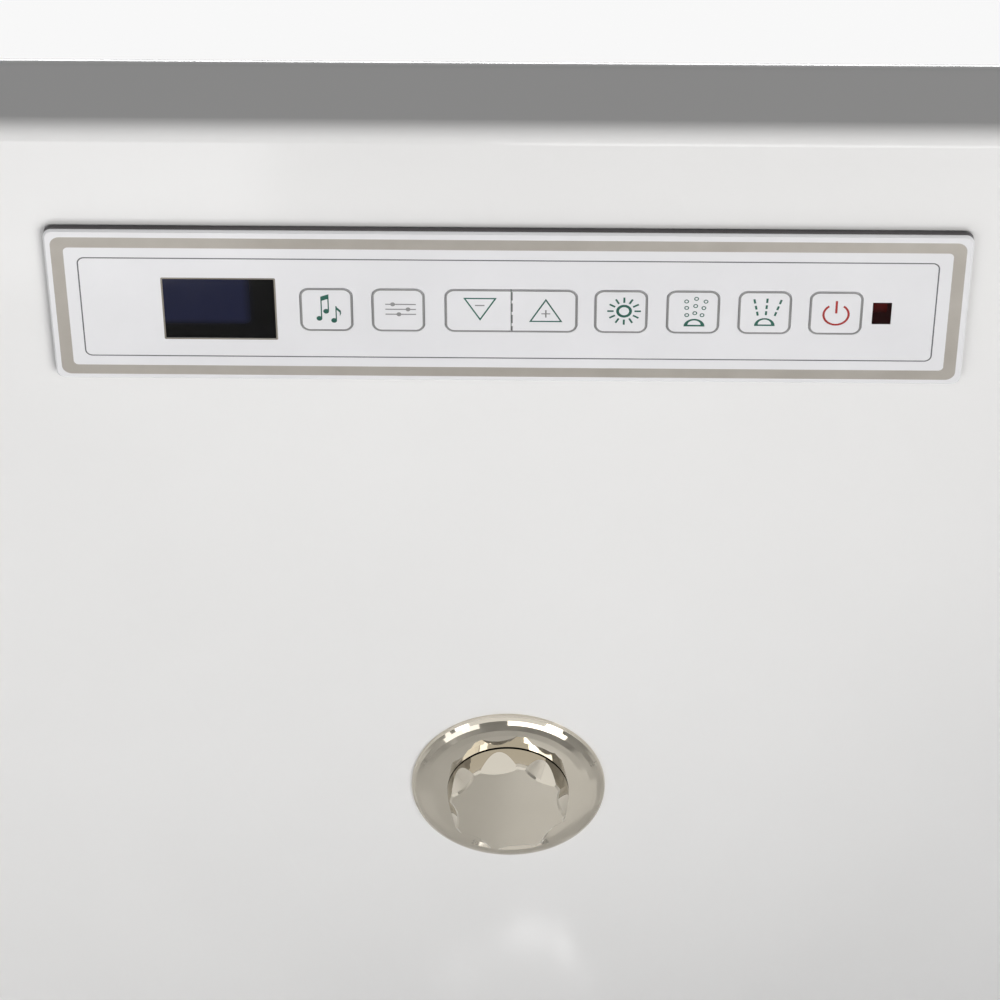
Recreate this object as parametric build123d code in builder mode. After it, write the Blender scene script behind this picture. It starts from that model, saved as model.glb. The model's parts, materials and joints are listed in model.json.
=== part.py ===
from build123d import *
import os
from math import atan2, cos, degrees, radians, sin, sqrt, tan

os.makedirs("parts", exist_ok=True)

# Corner jetted bathtub. Millimetres, +Z up, front apron towards -Y, room corner towards +Y,
# mirrored about X = 0. The origin is on the floor, in the middle of the tub's plan box.
root2 = sqrt(2)

# Tub plan and levels
wall_side = 1350.0  # each straight side that stands against a wall of the room
front_half = 550.0  # from the middle to the point where front and return lines cross
front_bend = 700.0  # radius between front and return
tip_round = 80.0  # radius between return and wall side
corner_round = 25.0  # radius in the room's corner
base_space = 150.0  # from the room's floor up to the basin's inside floor
basin_depth = 500.0
shell = 7.0  # acrylic with its backing, measured in plan
lip_depth = 40.0
rim_round_in = 6.0
rim_round_out = 10.0
floor_round = 40.0

# Basin walls, as (at the rim, at the floor) where they change with height
deck_front = 42.0
deck_wall = 115.0
front_draft = 5.0
backrest_angle = 20.0
front_flat = (218.0, 8.0)
front_round = (600.0, 175.0)
back_flat = (46.0, 10.0)
back_round = (220.0, 70.0)
tip_inside = (200.0, 110.0)

# Control panel on the front wall
panel_drop = 37.0  # from the rim down the wall to the panel's top edge
panel_length = 300.0
panel_height = 60.0
panel_round = 3.0
gasket_thick = 0.8
flange_thick = 2.0
plate_thick = 1.0
plate_bevel = 0.6
body_length = 284.0
body_height = 44.0
body_depth = 24.0
body_wall = 2.0
cutout_gap = 1.0  # around the panel body in the shell
gasket_inset = 0.5
boss_r = 3.0
clamp_x = 105.0
clamp_width = 16.0
clamp_land = 9.0
clamp_sheet = 2.0
clamp_stud_r = 2.5
clamp_stud_length = 9.0
clamp_nut = 8.0
clamp_nut_thick = 4.0
lip_gap = 0.1
key_proud = 0.1
key_size = 17.0
key_round = 3.0
key_pitch_row = {
    "music": -59.3, "set": -35.8, "light": 37.0, "bubbles": 60.5, "jets": 83.9, "power": 107.1,
}
level_key_middle = 1.1  # middle of the two joined level keys
level_key_width = 21.4
key_lip = 0.6
key_lip_thick = 0.6
key_gap = 0.25
key_travel = 0.5
key_stem_r = 2.0
key_row = -0.8  # keys and display lie this much below the panel's middle
display_x = -94.3
display_size = (36.2, 23.7)
infrared_x = 122.1
infrared_size = (6.0, 8.5)
board_drop = 9.0  # from the wall's face to the board's upper face
board_size = (268.0, 34.0, 1.6)
switch_size = (3.0, 1.6)
window_gap = 0.1

# Overflow with its turning knob
overflow_drop = 287.0
overflow_flange_r = 35.5
overflow_hole_r = 26.0
flange_dome_r = 25.5
flange_rise = 4.0
flange_edge = 0.8
flange_spigot = 2.0
knob_base_r = 22.3
knob_face_r = 21.5
knob_height = 8.8
knob_lift = 4.5
knob_bevel = 0.7
knob_shaft_r = 4.0
running_gap = 0.05
flutes = 8
flute_r = 15.4
flute_depth = 2.6
flute_taper = 24.0
flute_turn = 9.0  # one finger hollow stands this far left of straight up
cup_r = 24.5
cup_depth = 45.0
cup_wall = 3.5
overflow_tail_r = 17.0
pipe_bore_r = 13.5
pipe_r = 16.0
rubber_thick = 2.0
water_holes = 6
water_hole_r = 3.2
water_hole_ring = 14.0
bush_length = 14.0
tail_height = -30.0
tail_length = 62.0
tail_socket = 22.0
cable_x = 26.0
cable_r = 2.5
gland_r = 5.0
gland_top = 34.0
gland_length = 14.0

# Waste
drain_y = -470.0
drain_flange_r = 35.0
drain_hole_r = 26.0
drain_tube_r = 23.0
drain_bore_r = 18.5
plug_r = 31.0
plug_lift = 10.0
trap_r = 42.0
trap_wall = 3.0
trap_height = 50.0
outlet_r = 20.0
outlet_rise = 24.0  # from the trap's bottom to the outlet's middle
outlet_turn = 15.0  # the outlet is swivelled to pass beside the spine's foot
outlet_reach = 112.0
outlet_root = 12.0  # length of the thicker stretch beside the trap
outlet_root_wall = 3.0
spigot_length = 26.0
plug_stem_r = 4.0
collar = 8.0
side_port_drop = 47.0  # from the basin's floor to the port of the overflow pipe
trap_port_gap = 33.0
port_reach = 54.0
pipe_bend = 60.0

# Jets, suction, lamp
jet_depth = 70.0  # from the wall's face to the water pipe's middle
water_pipe_rise = 220.0  # above the basin's inside floor
water_pipe_r = 20.0
water_bend = 150.0
jet_flange_r = 35.0
jet_hole_r = 25.0
jet_spigot_r = 24.0
ball_r = 18.0
ball_gap = 0.35
jet_body_r = 30.0
jet_along = (106.0, 266.0)
pipe_end_past = 45.0
spigot_reach = 16.0
ball_middle = -4.0
ball_lip_r = 17.2
nozzle_bore_r = 5.0
nozzle_front = 15.0
suction_depth = 72.0
suction_port_depth = 42.0
suction_port_reach = 62.0
suction_bend = 44.0
grille_hole_r = 2.2
lamp_depth = 30.0
riser_bottom = 202.0
riser_r = 18.0
foot_jet_along = 26.0
fitting_rise = 85.0  # above the basin's inside floor
suction_along = 40.0
suction_r = 48.0
suction_hole_r = 30.0
lamp_along = -70.0
lamp_r = 42.0
lamp_hole_r = 30.0

# Frame and feet
board_thick = 18.0
board_inset = 45.0
board_gap = 4.0
rail = 30.0
rail_wall = 2.0
weld_gap = 0.2  # between tubes that are tack welded end to side
post = 25.0
post_wall = 2.0
front_rail_y = -420.0
front_rail_half = 712.0
rear_rail_y = 75.0
rear_rail_half = 550.0
side_rail_x = 235.0
spine_end_y = 575.0
tip_post_x = 880.0
tip_post_y = -269.8
stud_r = 6.0
stud_gap = 0.2
nut_across = 19.0
nut_thick = 10.0
pad_r = 25.0
pad_thick = 14.0
apron_gap = 1.0
apron_thick = 4.0
apron_bottom = 20.0
apron_end = 14.0  # the apron stops this far in front of the tub's tips
stud_reach = 22.0
front_feet = (235.0, 620.0)
rear_feet = (470.0,)
spine_foot_y = 520.0
end_plate = 3.0
tray_foot_r = 12.0

# Pump and blower
tray_thick = 3.0
tray_foot = 12.0
tray_foot_inset = 16.0
tray_x = (590.0, 850.0)
tray_y = (-335.0, -175.0)
pump_axis = 115.0
volute_r = 76.0
volute_width = 66.0
volute_wall = 8.0
impeller_r = 55.0
motor_r = 62.0
motor_length = 156.0
pump_shaft_r = 7.0
inlet_length = 24.0
union_length = 22.0
rotor_back = 16.0
rotor_shaft = 60.0
blades = 6
blade_width = 14.0
blade_slant = 35.0
motor_fins = 16
blower_motor_r = 46.0
blower_top = 176.0
fan_shaft_r = 5.0
fan_shaft = 30.0
fan_low = 48.0
fan_height = 40.0
fan_blades = 18
air_pipe_past = 20.0
suction_pipe_r = 22.0
blower_r = 85.0
blower_low = 35.0
blower_high = 115.0
blower_wall = 4.0
fan_r = 62.0
air_pipe_r = 14.0
air_level = 72.0
air_row_y = -201.0
bubble_x = (272.0, 302.0, 332.0, 362.0)
bubble_cap_r = 13.0
bubble_stem_r = 7.0
bubble_gap = 0.3

# Deck fittings
regulator_along = 60.0
regulator_r = 26.0
regulator_hole_r = 16.0
air_hose_r = 9.0
regulator_bore_r = 9.0
regulator_depth = 42.0
hose_rise = 70.0
hose_bend = 40.0
speaker_x = 95.0
speaker_y = 468.0
speaker_r = 48.0
speaker_hole_r = 41.0
box_size = (160.0, 62.0, 150.0)
box_level = 330.0
pillow_size = (300.0, 120.0, 48.0)
pillow_drop = 78.0
soft_gap = 0.3
face_gap = 0.3

# Places worked out from the sizes above
floor_level = base_space
water_level = floor_level + water_pipe_rise
fitting_level = floor_level + fitting_rise
rim_height = base_space + basin_depth
side_port_level = floor_level - side_port_drop
trap_top = side_port_level - trap_port_gap
trap_bottom = trap_top - trap_height
outlet_level = trap_bottom + outlet_rise
tip_x = wall_side / root2
plan_depth = 2 * tip_x - front_half
room_corner_inset = corner_round * (root2 - 1)
front_y = -(plan_depth - room_corner_inset) / 2
room_corner_y = front_y + plan_depth
wall_line = room_corner_y / root2  # distance of a wall side from the origin, at 45 degrees
return_line = (2 * tip_x - room_corner_y) / root2
turn_45 = tan(radians(22.5))


def along_depth(pair, level):
    """Value between the rim's and the floor's, at a height."""
    share = (rim_height - level) / basin_depth
    return pair[0] + (pair[1] - pair[0]) * share


basin_front_y = (front_y + deck_front, front_y + deck_front + basin_depth * tan(radians(front_draft)))
basin_wall_top = wall_line - deck_wall
basin_wall = (basin_wall_top, basin_wall_top - basin_depth * tan(radians(backrest_angle)))
front_corner_x = tuple(front_flat[i] + front_round[i] * turn_45 for i in (0, 1))
basin_return = tuple((front_corner_x[i] - basin_front_y[i]) / root2 for i in (0, 1))
return_angle = degrees(atan2(basin_return[0] - basin_return[1], basin_depth))
back_corner_x = tuple(back_flat[i] + back_round[i] * turn_45 for i in (0, 1))
basin_back_y = tuple(basin_wall[i] * root2 - back_corner_x[i] for i in (0, 1))


def basin_corners(level, grow=0.0):
    """Corner points and radii of the basin's inside at a height, moved outwards by grow."""
    y_front = along_depth(basin_front_y, level) - grow
    y_back = along_depth(basin_back_y, level) + grow
    wall = along_depth(basin_wall, level) + grow
    side = along_depth(basin_return, level) + grow
    back = (root2 * wall - y_back, y_back)
    tip = ((wall + side) / root2, (wall - side) / root2)
    front = (root2 * side + y_front, y_front)
    radii = [along_depth(pair, level) + grow for pair in (back_round, tip_inside, front_round)]
    return [back, tip, front], radii


def mirrored(points):
    """The right half's points followed by the left half's, once round."""
    return list(points) + [(-x, y) for x, y in reversed(points) if abs(x) > 0.001]


def outline_face(points, radii, level):
    """Flat face inside a rounded outline that is given by its right half."""
    with BuildSketch(Plane.XY.offset(level)) as outline:
        with BuildLine():
            left_radii = [r for (x, y), r in zip(reversed(points), reversed(radii)) if abs(x) > 0.001]
            FilletPolyline(*mirrored(points), radius=list(radii) + left_radii, close=True)
        make_face()
    return outline.sketch


def basin_face(level, grow=0.0):
    points, radii = basin_corners(level, grow)
    return outline_face(points, radii, level)


def tub_face(level, inset=0.0):
    """Flat face of the whole tub's plan, moved inwards by inset."""
    corner = (0.0, room_corner_y - inset * root2)
    wall = wall_line - inset
    side = return_line - inset
    tip = ((wall + side) / root2, (wall - side) / root2)
    front = (root2 * side + front_y + inset, front_y + inset)
    radii = [corner_round - min(inset, corner_round - 1), tip_round - inset, front_bend - inset]
    return outline_face([corner, tip, front], radii, level)


def wall_seat(origin, inward):
    """Plane on a wall of the basin: Z points into the basin, Y up the wall, X to the reader's right."""
    return Plane(origin=origin, x_dir=(-inward[1], inward[0], 0), z_dir=inward)


def front_seat(drop):
    """Seat on the middle of the front wall, at a distance down the wall."""
    slope = radians(front_draft)
    origin = (0, basin_front_y[0] + drop * sin(slope), rim_height - drop * cos(slope))
    return wall_seat(origin, (0, cos(slope), sin(slope)))


def side_seat(side, wall, along, level):
    """Seat on a backrest or return wall, at a height and a distance along the wall."""
    slope = radians(backrest_angle if wall == "backrest" else return_angle)
    reach = along_depth(basin_wall if wall == "backrest" else basin_return, level)
    across = (side * 1 / root2, 1 / root2) if wall == "backrest" else (side * 1 / root2, -1 / root2)
    beside = (side * 1 / root2, -1 / root2) if wall == "backrest" else (side * 1 / root2, 1 / root2)
    x = across[0] * reach + beside[0] * along
    y = across[1] * reach + beside[1] * along
    inward = (-across[0] * cos(slope), -across[1] * cos(slope), sin(slope))
    return wall_seat((x, y, level), inward)


def section(seat):
    """Plane through a seat's axis, for the profile of a turned piece."""
    return Plane(origin=seat.origin, x_dir=seat.x_dir, z_dir=-seat.y_dir)


def turned(seat, points, mode=Mode.ADD):
    """Turn a closed profile of (radius, height) points about a seat's axis."""
    with BuildSketch(section(seat)) as profile:
        with BuildLine():
            Polyline(*points, close=True)
        make_face()
    revolve(profile.sketch, axis=Axis(seat.origin, seat.z_dir), mode=mode)


def disc(seat, radius, low, high, mode=Mode.ADD):
    """Round bar on a seat's axis between two heights."""
    with BuildSketch(seat.offset(low)) as round_face:
        Circle(radius)
    extrude(round_face.sketch, amount=high - low, mode=mode)


def shifted(seat, x, y, height=0.0):
    """The same plane with its origin moved within it."""
    return Plane(origin=seat.from_local_coords((x, y, height)), x_dir=seat.x_dir, z_dir=seat.z_dir)


def tube_path(points, radii):
    with BuildLine() as path:
        FilletPolyline(*points, radius=radii)
    return path.line


def swept_bar(points, radii, radius, mode=Mode.ADD):
    """Round bar along straight runs joined by arcs."""
    path = tube_path(points, radii)
    with BuildSketch(Plane(origin=path @ 0, z_dir=path % 0)) as end:
        Circle(radius)
    sweep(end.sketch, path=path, mode=mode)


def finish(builder, name):
    builder.part.label = name
    export_step(builder.part, "parts/" + name + ".step")


panel_seat = front_seat(panel_drop + panel_height / 2)
overflow_seat = front_seat(overflow_drop)
drain_seat = Plane(origin=(0, drain_y, floor_level), x_dir=(1, 0, 0), z_dir=(0, 0, 1))
front_back_face = -shell * cos(radians(front_draft))  # back of the front wall, from its face

jet_seats = []
for jet_side in (1, -1):
    rest_level = water_level + jet_depth * sin(radians(backrest_angle))
    for place in jet_along:
        jet_seats.append((side_seat(jet_side, "backrest", place, rest_level), backrest_angle))
    foot_level = water_level + jet_depth * sin(radians(return_angle))
    jet_seats.append((side_seat(jet_side, "return", foot_jet_along, foot_level), return_angle))
suction_seat = side_seat(1, "return", suction_along, fitting_level)
lamp_seat = side_seat(-1, "return", lamp_along, fitting_level)
side_back_face = -shell * cos(radians(return_angle))
regulator_seat = Plane(
    origin=(
        (wall_line - deck_wall / 2 + regulator_along) / root2,
        (wall_line - deck_wall / 2 - regulator_along) / root2,
        rim_height,
    ),
    x_dir=(1, 0, 0),
    z_dir=(0, 0, 1),
)
bubble_seats = [
    Plane(origin=(side * x, air_row_y, floor_level), x_dir=(1, 0, 0), z_dir=(0, 0, 1))
    for side in (1, -1)
    for x in bubble_x
]
speaker_seats = [
    Plane(origin=(side * speaker_x, speaker_y, rim_height), x_dir=(1, 0, 0), z_dir=(0, 0, 1))
    for side in (1, -1)
]


def at_height(level):
    """Selects edges that lie flat at one height."""
    def lies_there(edge):
        box = edge.bounding_box()
        return abs(box.min.Z - level) + abs(box.max.Z - level) < 0.02
    return lies_there


def basin_block(bottom, top, grow, round_below):
    """Solid with the basin's walls between two heights and a rounded foot."""
    with BuildPart() as block:
        loft([basin_face(bottom, grow), basin_face(top, grow)], ruled=True)
        fillet(block.edges().filter_by(at_height(bottom)), round_below)
    return block.part


basin_skin = basin_block(floor_level - shell, rim_height - shell / 2, shell, floor_round + shell)
basin_space = basin_block(floor_level, rim_height, 0.0, floor_round)

rail_feet = [(side * x, front_rail_y) for side in (1, -1) for x in front_feet]
rail_feet += [(side * x, rear_rail_y) for side in (1, -1) for x in rear_feet]
rail_feet += [(0, spine_foot_y)]
tip_feet = [(side * tip_post_x, tip_post_y) for side in (1, -1)]
foot_places = rail_feet + tip_feet
tray_feet = [
    (side * x, y)
    for side in (1, -1)
    for x in (tray_x[0] + tray_foot_inset, tray_x[1] - tray_foot_inset)
    for y in (tray_y[0] + tray_foot_inset, tray_y[1] - tray_foot_inset)
]

# Tub shell
with BuildPart() as tub_shell:
    extrude(tub_face(rim_height), amount=-lip_depth)
    fillet(tub_shell.edges().filter_by(at_height(rim_height)), rim_round_out)
    extrude(tub_face(rim_height - shell, shell), amount=-lip_depth, mode=Mode.SUBTRACT)
    add(basin_skin)
    add(basin_space, mode=Mode.SUBTRACT)
    deck = tub_shell.faces().sort_by(Axis.Z)[-1]
    fillet(deck.inner_wires()[0].edges(), rim_round_in)
    with BuildSketch(panel_seat.offset(-shell * 2)):
        Rectangle(body_length + 2 * cutout_gap, body_height + 2 * cutout_gap)
    extrude(amount=shell * 3, mode=Mode.SUBTRACT)
    disc(overflow_seat, overflow_hole_r, -shell * 2, shell, Mode.SUBTRACT)
    disc(drain_seat, drain_hole_r, -shell * 2, shell, Mode.SUBTRACT)
    for seat, angle in jet_seats:
        disc(seat, jet_hole_r, -shell * 2, shell, Mode.SUBTRACT)
    disc(suction_seat, suction_hole_r, -shell * 2, shell, Mode.SUBTRACT)
    disc(lamp_seat, lamp_hole_r, -shell * 2, shell, Mode.SUBTRACT)
    disc(regulator_seat, regulator_hole_r, -shell * 2, shell, Mode.SUBTRACT)
    for seat in speaker_seats:
        disc(seat, speaker_hole_r, -shell * 2, shell, Mode.SUBTRACT)
    for seat in bubble_seats:
        disc(seat, bubble_stem_r + bubble_gap, -shell * 2, shell, Mode.SUBTRACT)
finish(tub_shell, "tub_shell")

# Base board under the floor
underside = floor_level - shell
board_bottom = underside - board_thick
with BuildPart() as base_board:
    points, radii = basin_corners(floor_level, -board_inset)
    extrude(outline_face(points, radii, underside), amount=-board_thick)
    disc(drain_seat, drain_flange_r + board_gap, -shell - board_thick - 1, 0, Mode.SUBTRACT)
    for seat in bubble_seats:
        disc(seat, bubble_cap_r + board_gap, -shell - board_thick - 1, 0, Mode.SUBTRACT)
finish(base_board, "base_board")

# Steel frame: rails under the board, posts up to the deck
rail_bottom = board_bottom - rail


def square_tube(start, end, size, wall):
    """Square tube between two points along X, Y or Z."""
    run = Vector(*end) - Vector(*start)
    side = (1, 0, 0) if abs(run.X) < 0.5 * run.length else (0, 1, 0)
    with BuildSketch(Plane(origin=start, x_dir=side, z_dir=run.normalized())) as profile:
        RectangleRounded(size, size, wall)
        Rectangle(size - 2 * wall, size - 2 * wall, mode=Mode.SUBTRACT)
    extrude(profile.sketch, amount=run.length)


rail_middle = board_bottom - rail / 2
front_rail_back = front_rail_y + rail / 2 + weld_gap
rear_rail_front = rear_rail_y - rail / 2 - weld_gap
rear_rail_back = rear_rail_y + rail / 2 + weld_gap
with BuildPart() as frame_rails:
    square_tube((-front_rail_half, front_rail_y, rail_middle), (front_rail_half, front_rail_y, rail_middle),
                rail, rail_wall)
    square_tube((-rear_rail_half, rear_rail_y, rail_middle), (rear_rail_half, rear_rail_y, rail_middle),
                rail, rail_wall)
    for side in (1, -1):
        square_tube((side * side_rail_x, front_rail_back, rail_middle),
                    (side * side_rail_x, rear_rail_front, rail_middle), rail, rail_wall)
    square_tube((0, rear_rail_back, rail_middle), (0, spine_end_y, rail_middle), rail, rail_wall)
    for x, y in rail_feet:
        with BuildSketch(Plane(origin=(x, y, rail_bottom - 1))):
            Circle(stud_r + stud_gap)
        extrude(amount=rail_wall + 2, mode=Mode.SUBTRACT)
finish(frame_rails, "frame_rails")

deck_underside = rim_height - shell
with BuildPart() as frame_posts:
    for side in (1, -1):
        square_tube((side * (front_rail_half + post / 2), front_rail_y, rail_bottom),
                    (side * (front_rail_half + post / 2), front_rail_y, deck_underside), post, post_wall)
        square_tube((side * (rear_rail_half + post / 2), rear_rail_y, rail_bottom),
                    (side * (rear_rail_half + post / 2), rear_rail_y, deck_underside), post, post_wall)
        square_tube((side * tip_post_x, tip_post_y, rail_bottom),
                    (side * tip_post_x, tip_post_y, deck_underside), post, post_wall)
        with BuildSketch(Plane(origin=(side * tip_post_x, tip_post_y, rail_bottom))):
            Rectangle(post - post_wall, post - post_wall)
            Circle(stud_r + stud_gap, mode=Mode.SUBTRACT)
        extrude(amount=end_plate)
    square_tube((0, spine_end_y + post / 2, rail_bottom), (0, spine_end_y + post / 2, deck_underside),
                post, post_wall)
finish(frame_posts, "frame_posts")

# Levelling feet
with BuildPart() as foot_studs:
    for x, y in foot_places:
        with BuildSketch(Plane(origin=(x, y, pad_thick / 2))):
            Circle(stud_r)
        extrude(amount=rail_bottom + stud_reach - pad_thick / 2)
        with BuildSketch(Plane(origin=(x, y, rail_bottom))):
            RegularPolygon(nut_across / 2, 6, major_radius=False)
            Circle(stud_r + running_gap, mode=Mode.SUBTRACT)
        extrude(amount=-nut_thick)
finish(foot_studs, "foot_studs")

with BuildPart() as foot_pads:
    for x, y in foot_places:
        pad_seat = Plane(origin=(x, y, 0))
        turned(pad_seat, [(0, 0), (pad_r, 0), (pad_r, pad_thick * 0.35), (stud_r + 5, pad_thick),
                          (stud_r, pad_thick), (stud_r, pad_thick / 2), (0, pad_thick / 2)])
    for x, y in tray_feet:
        tray_foot_seat = Plane(origin=(x, y, 0))
        disc(tray_foot_seat, tray_foot_r, 0, tray_foot)
finish(foot_pads, "foot_pads")

# Curved apron, tucked behind the deck's lip on the three room sides
with BuildPart() as front_apron:
    extrude(tub_face(apron_bottom, shell + apron_gap), amount=deck_underside - apron_bottom)
    extrude(tub_face(apron_bottom, shell + apron_gap + apron_thick), amount=deck_underside,
            mode=Mode.SUBTRACT)
    with BuildSketch(Plane.XY):
        with Locations((0, tip_post_y - apron_end + tip_x)):
            Rectangle(2 * tip_x, 2 * tip_x)
    extrude(amount=rim_height, mode=Mode.SUBTRACT)
finish(front_apron, "front_apron")

# Control panel: gasket, dark housing, white face plate
flange_face = gasket_thick + flange_thick
body_back = gasket_thick - body_depth
cutout_length = body_length + 2 * cutout_gap
cutout_height = body_height + 2 * cutout_gap
with BuildPart() as panel_gasket:
    with BuildSketch(panel_seat):
        RectangleRounded(panel_length - 2 * gasket_inset, panel_height - 2 * gasket_inset, panel_round)
        Rectangle(cutout_length, cutout_height, mode=Mode.SUBTRACT)
    extrude(amount=gasket_thick)
finish(panel_gasket, "panel_gasket")

board_back = -board_drop - board_size[2]
stud_offsets = [(side * clamp_x, 0) for side in (1, -1)]
with BuildPart() as panel_housing:
    with BuildSketch(panel_seat.offset(gasket_thick)):
        RectangleRounded(panel_length, panel_height, panel_round)
    extrude(amount=flange_thick)
    with BuildSketch(panel_seat.offset(gasket_thick)):
        RectangleRounded(body_length, body_height, panel_round)
    extrude(amount=-body_depth)
    with BuildSketch(panel_seat.offset(flange_face)):
        RectangleRounded(body_length - 2 * body_wall, body_height - 2 * body_wall, panel_round - body_wall)
    extrude(amount=body_back + body_wall - flange_face, mode=Mode.SUBTRACT)
    with BuildSketch(panel_seat.offset(body_back)):
        with GridLocations((board_size[0] - 4 * boss_r) / 3, board_size[1] - 3 * boss_r, 4, 2):
            Circle(boss_r)
    extrude(amount=board_back - body_back)
    with BuildSketch(panel_seat.offset(body_back)):
        with Locations(*stud_offsets):
            Circle(clamp_stud_r)
    extrude(amount=-clamp_stud_length)
finish(panel_housing, "panel_housing")

key_places = {name: (x, key_size, 0) for name, x in key_pitch_row.items()}
key_places["down"] = (level_key_middle, 2 * level_key_width + key_gap, -1)
key_places["up"] = (level_key_middle, 2 * level_key_width + key_gap, 1)


def key_outline(place, grow, height):
    """Outline of a key, or of the left or right half of the joined pair."""
    middle, width, half = place
    with BuildSketch(shifted(panel_seat, middle, key_row, height)) as key_sketch:
        RectangleRounded(width + 2 * grow, key_size + 2 * grow, key_round + grow)
        if half:
            with Locations((-half * width / 2, 0)):
                Rectangle(width + key_gap, key_size * 2, mode=Mode.SUBTRACT)
    return key_sketch.sketch


with BuildPart() as panel_faceplate:
    with BuildSketch(panel_seat.offset(flange_face)):
        RectangleRounded(panel_length, panel_height, panel_round)
    extrude(amount=plate_thick)
    front_edges = panel_faceplate.faces().sort_by(Axis(panel_seat.origin, panel_seat.z_dir))[-1].edges()
    chamfer(front_edges, plate_bevel)
    for name, (middle, width, half) in key_places.items():
        extrude(key_outline((middle, width, 0), key_gap, flange_face), amount=plate_thick,
                dir=panel_seat.z_dir, mode=Mode.SUBTRACT)
    for middle, size in ((display_x, display_size), (infrared_x, infrared_size)):
        with BuildSketch(shifted(panel_seat, middle, key_row, flange_face)):
            Rectangle(size[0] + 2 * window_gap, size[1] + 2 * window_gap)
        extrude(amount=plate_thick, mode=Mode.SUBTRACT)
finish(panel_faceplate, "panel_faceplate")

stem_end = -board_drop + switch_size[1] + key_travel + window_gap
for name, place in key_places.items():
    middle, width, half = place
    stem_x = middle + half * (level_key_width + key_gap) / 2
    with BuildPart() as key:
        extrude(key_outline(place, 0, flange_face - lip_gap), amount=plate_thick + lip_gap + key_proud,
                dir=panel_seat.z_dir)
        extrude(key_outline(place, key_lip, flange_face - lip_gap), amount=key_lip_thick,
                dir=-panel_seat.z_dir)
        with BuildSketch(shifted(panel_seat, stem_x, key_row, stem_end)):
            Circle(key_stem_r)
        extrude(amount=flange_face - lip_gap - stem_end)
    finish(key, "key_" + name)

with BuildPart() as panel_circuit_board:
    with BuildSketch(panel_seat.offset(-board_drop)):
        Rectangle(board_size[0], board_size[1])
    extrude(amount=-board_size[2])
    for middle, width, half in key_places.values():
        dome_x = middle + half * (level_key_width + key_gap) / 2
        with BuildSketch(shifted(panel_seat, dome_x, key_row, -board_drop)):
            Rectangle(switch_size[0] * 2, switch_size[0] * 2)
        extrude(amount=switch_size[1])
    for middle, size in ((display_x, display_size), (infrared_x, infrared_size)):
        with BuildSketch(shifted(panel_seat, middle, key_row, -board_drop)):
            Rectangle(size[0] + 2 * window_gap, size[1] + 2 * window_gap)
        extrude(amount=board_drop + flange_face)
finish(panel_circuit_board, "panel_circuit_board")

for name, middle, size in (
    ("display_window", display_x, display_size),
    ("infrared_window", infrared_x, infrared_size),
):
    with BuildPart() as window:
        with BuildSketch(shifted(panel_seat, middle, key_row, flange_face)):
            Rectangle(size[0], size[1])
        extrude(amount=plate_thick)
    finish(window, name)

with BuildPart() as panel_clamps:
    for x, y in stud_offsets:
        with BuildSketch(shifted(panel_seat, x, y, front_back_face)):
            Rectangle(clamp_width, cutout_height + 2 * clamp_land)
            Rectangle(clamp_width * 2, cutout_height, mode=Mode.SUBTRACT)
        extrude(amount=body_back - front_back_face - clamp_sheet)
        with BuildSketch(shifted(panel_seat, x, y, body_back)):
            Rectangle(clamp_width, cutout_height + 2 * clamp_land)
            Circle(clamp_stud_r + running_gap, mode=Mode.SUBTRACT)
        extrude(amount=-clamp_sheet)
        with BuildSketch(shifted(panel_seat, x, y, body_back - clamp_sheet)):
            RegularPolygon(clamp_nut / 2, 6, major_radius=False)
            Circle(clamp_stud_r + running_gap, mode=Mode.SUBTRACT)
        extrude(amount=-clamp_nut_thick)
finish(panel_clamps, "panel_clamps")

# Overflow: domed chrome flange, body behind the wall, turning knob with finger hollows
cup_bore_r = cup_r - cup_wall
flange_dome = [
    (flange_dome_r + (overflow_flange_r - flange_dome_r) * sin(radians(turn)),
     flange_edge + (flange_rise - flange_edge) * cos(radians(turn)))
    for turn in range(75, -1, -15)
]
with BuildPart() as overflow_flange:
    turned(overflow_seat, [
        (knob_shaft_r + running_gap, -flange_spigot), (cup_bore_r - face_gap, -flange_spigot),
        (cup_bore_r - face_gap, 0), (overflow_flange_r, 0), (overflow_flange_r, flange_edge),
        *flange_dome, (knob_shaft_r + running_gap, flange_rise),
    ])
    with BuildSketch(overflow_seat.offset(-flange_spigot - 1)):
        with PolarLocations(water_hole_ring, water_holes):
            Circle(water_hole_r)
    extrude(amount=flange_spigot + flange_rise + 2, mode=Mode.SUBTRACT)
finish(overflow_flange, "overflow_flange")

gasket_back = front_back_face - rubber_thick
with BuildPart() as overflow_body:
    turned(overflow_seat, [
        (cup_r - cup_wall, gasket_back), (overflow_flange_r, gasket_back),
        (overflow_flange_r, gasket_back - 4),
        (cup_r, gasket_back - 4), (cup_r, -cup_depth), (knob_shaft_r + running_gap, -cup_depth),
        (knob_shaft_r + running_gap, -cup_depth + bush_length),
        (knob_shaft_r + 3, -cup_depth + bush_length), (knob_shaft_r + 3, -cup_depth + cup_wall),
        (cup_r - cup_wall, -cup_depth + cup_wall),
    ])
    tail_top = shifted(overflow_seat, 0, 0, tail_height)
    tail_plane = Plane(origin=tail_top.origin, x_dir=(1, 0, 0), z_dir=(0, 0, -1))
    disc(tail_plane, overflow_tail_r + 3, cup_r - 5, tail_length)
    disc(tail_plane, pipe_bore_r, cup_r - 8, tail_length + 1, Mode.SUBTRACT)
    disc(tail_plane, pipe_r + face_gap, tail_length - tail_socket, tail_length + 1, Mode.SUBTRACT)
    gland_plane = Plane(origin=tail_plane.origin + Vector(-cable_x, 0, 0), x_dir=(1, 0, 0), z_dir=(0, 0, -1))
    with BuildSketch(gland_plane.offset(gland_top)):
        Circle(gland_r)
        with Locations(((cable_x - overflow_tail_r) / 2, 0)):
            Rectangle(cable_x - overflow_tail_r, gland_r * 2)
    extrude(amount=gland_length)
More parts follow.
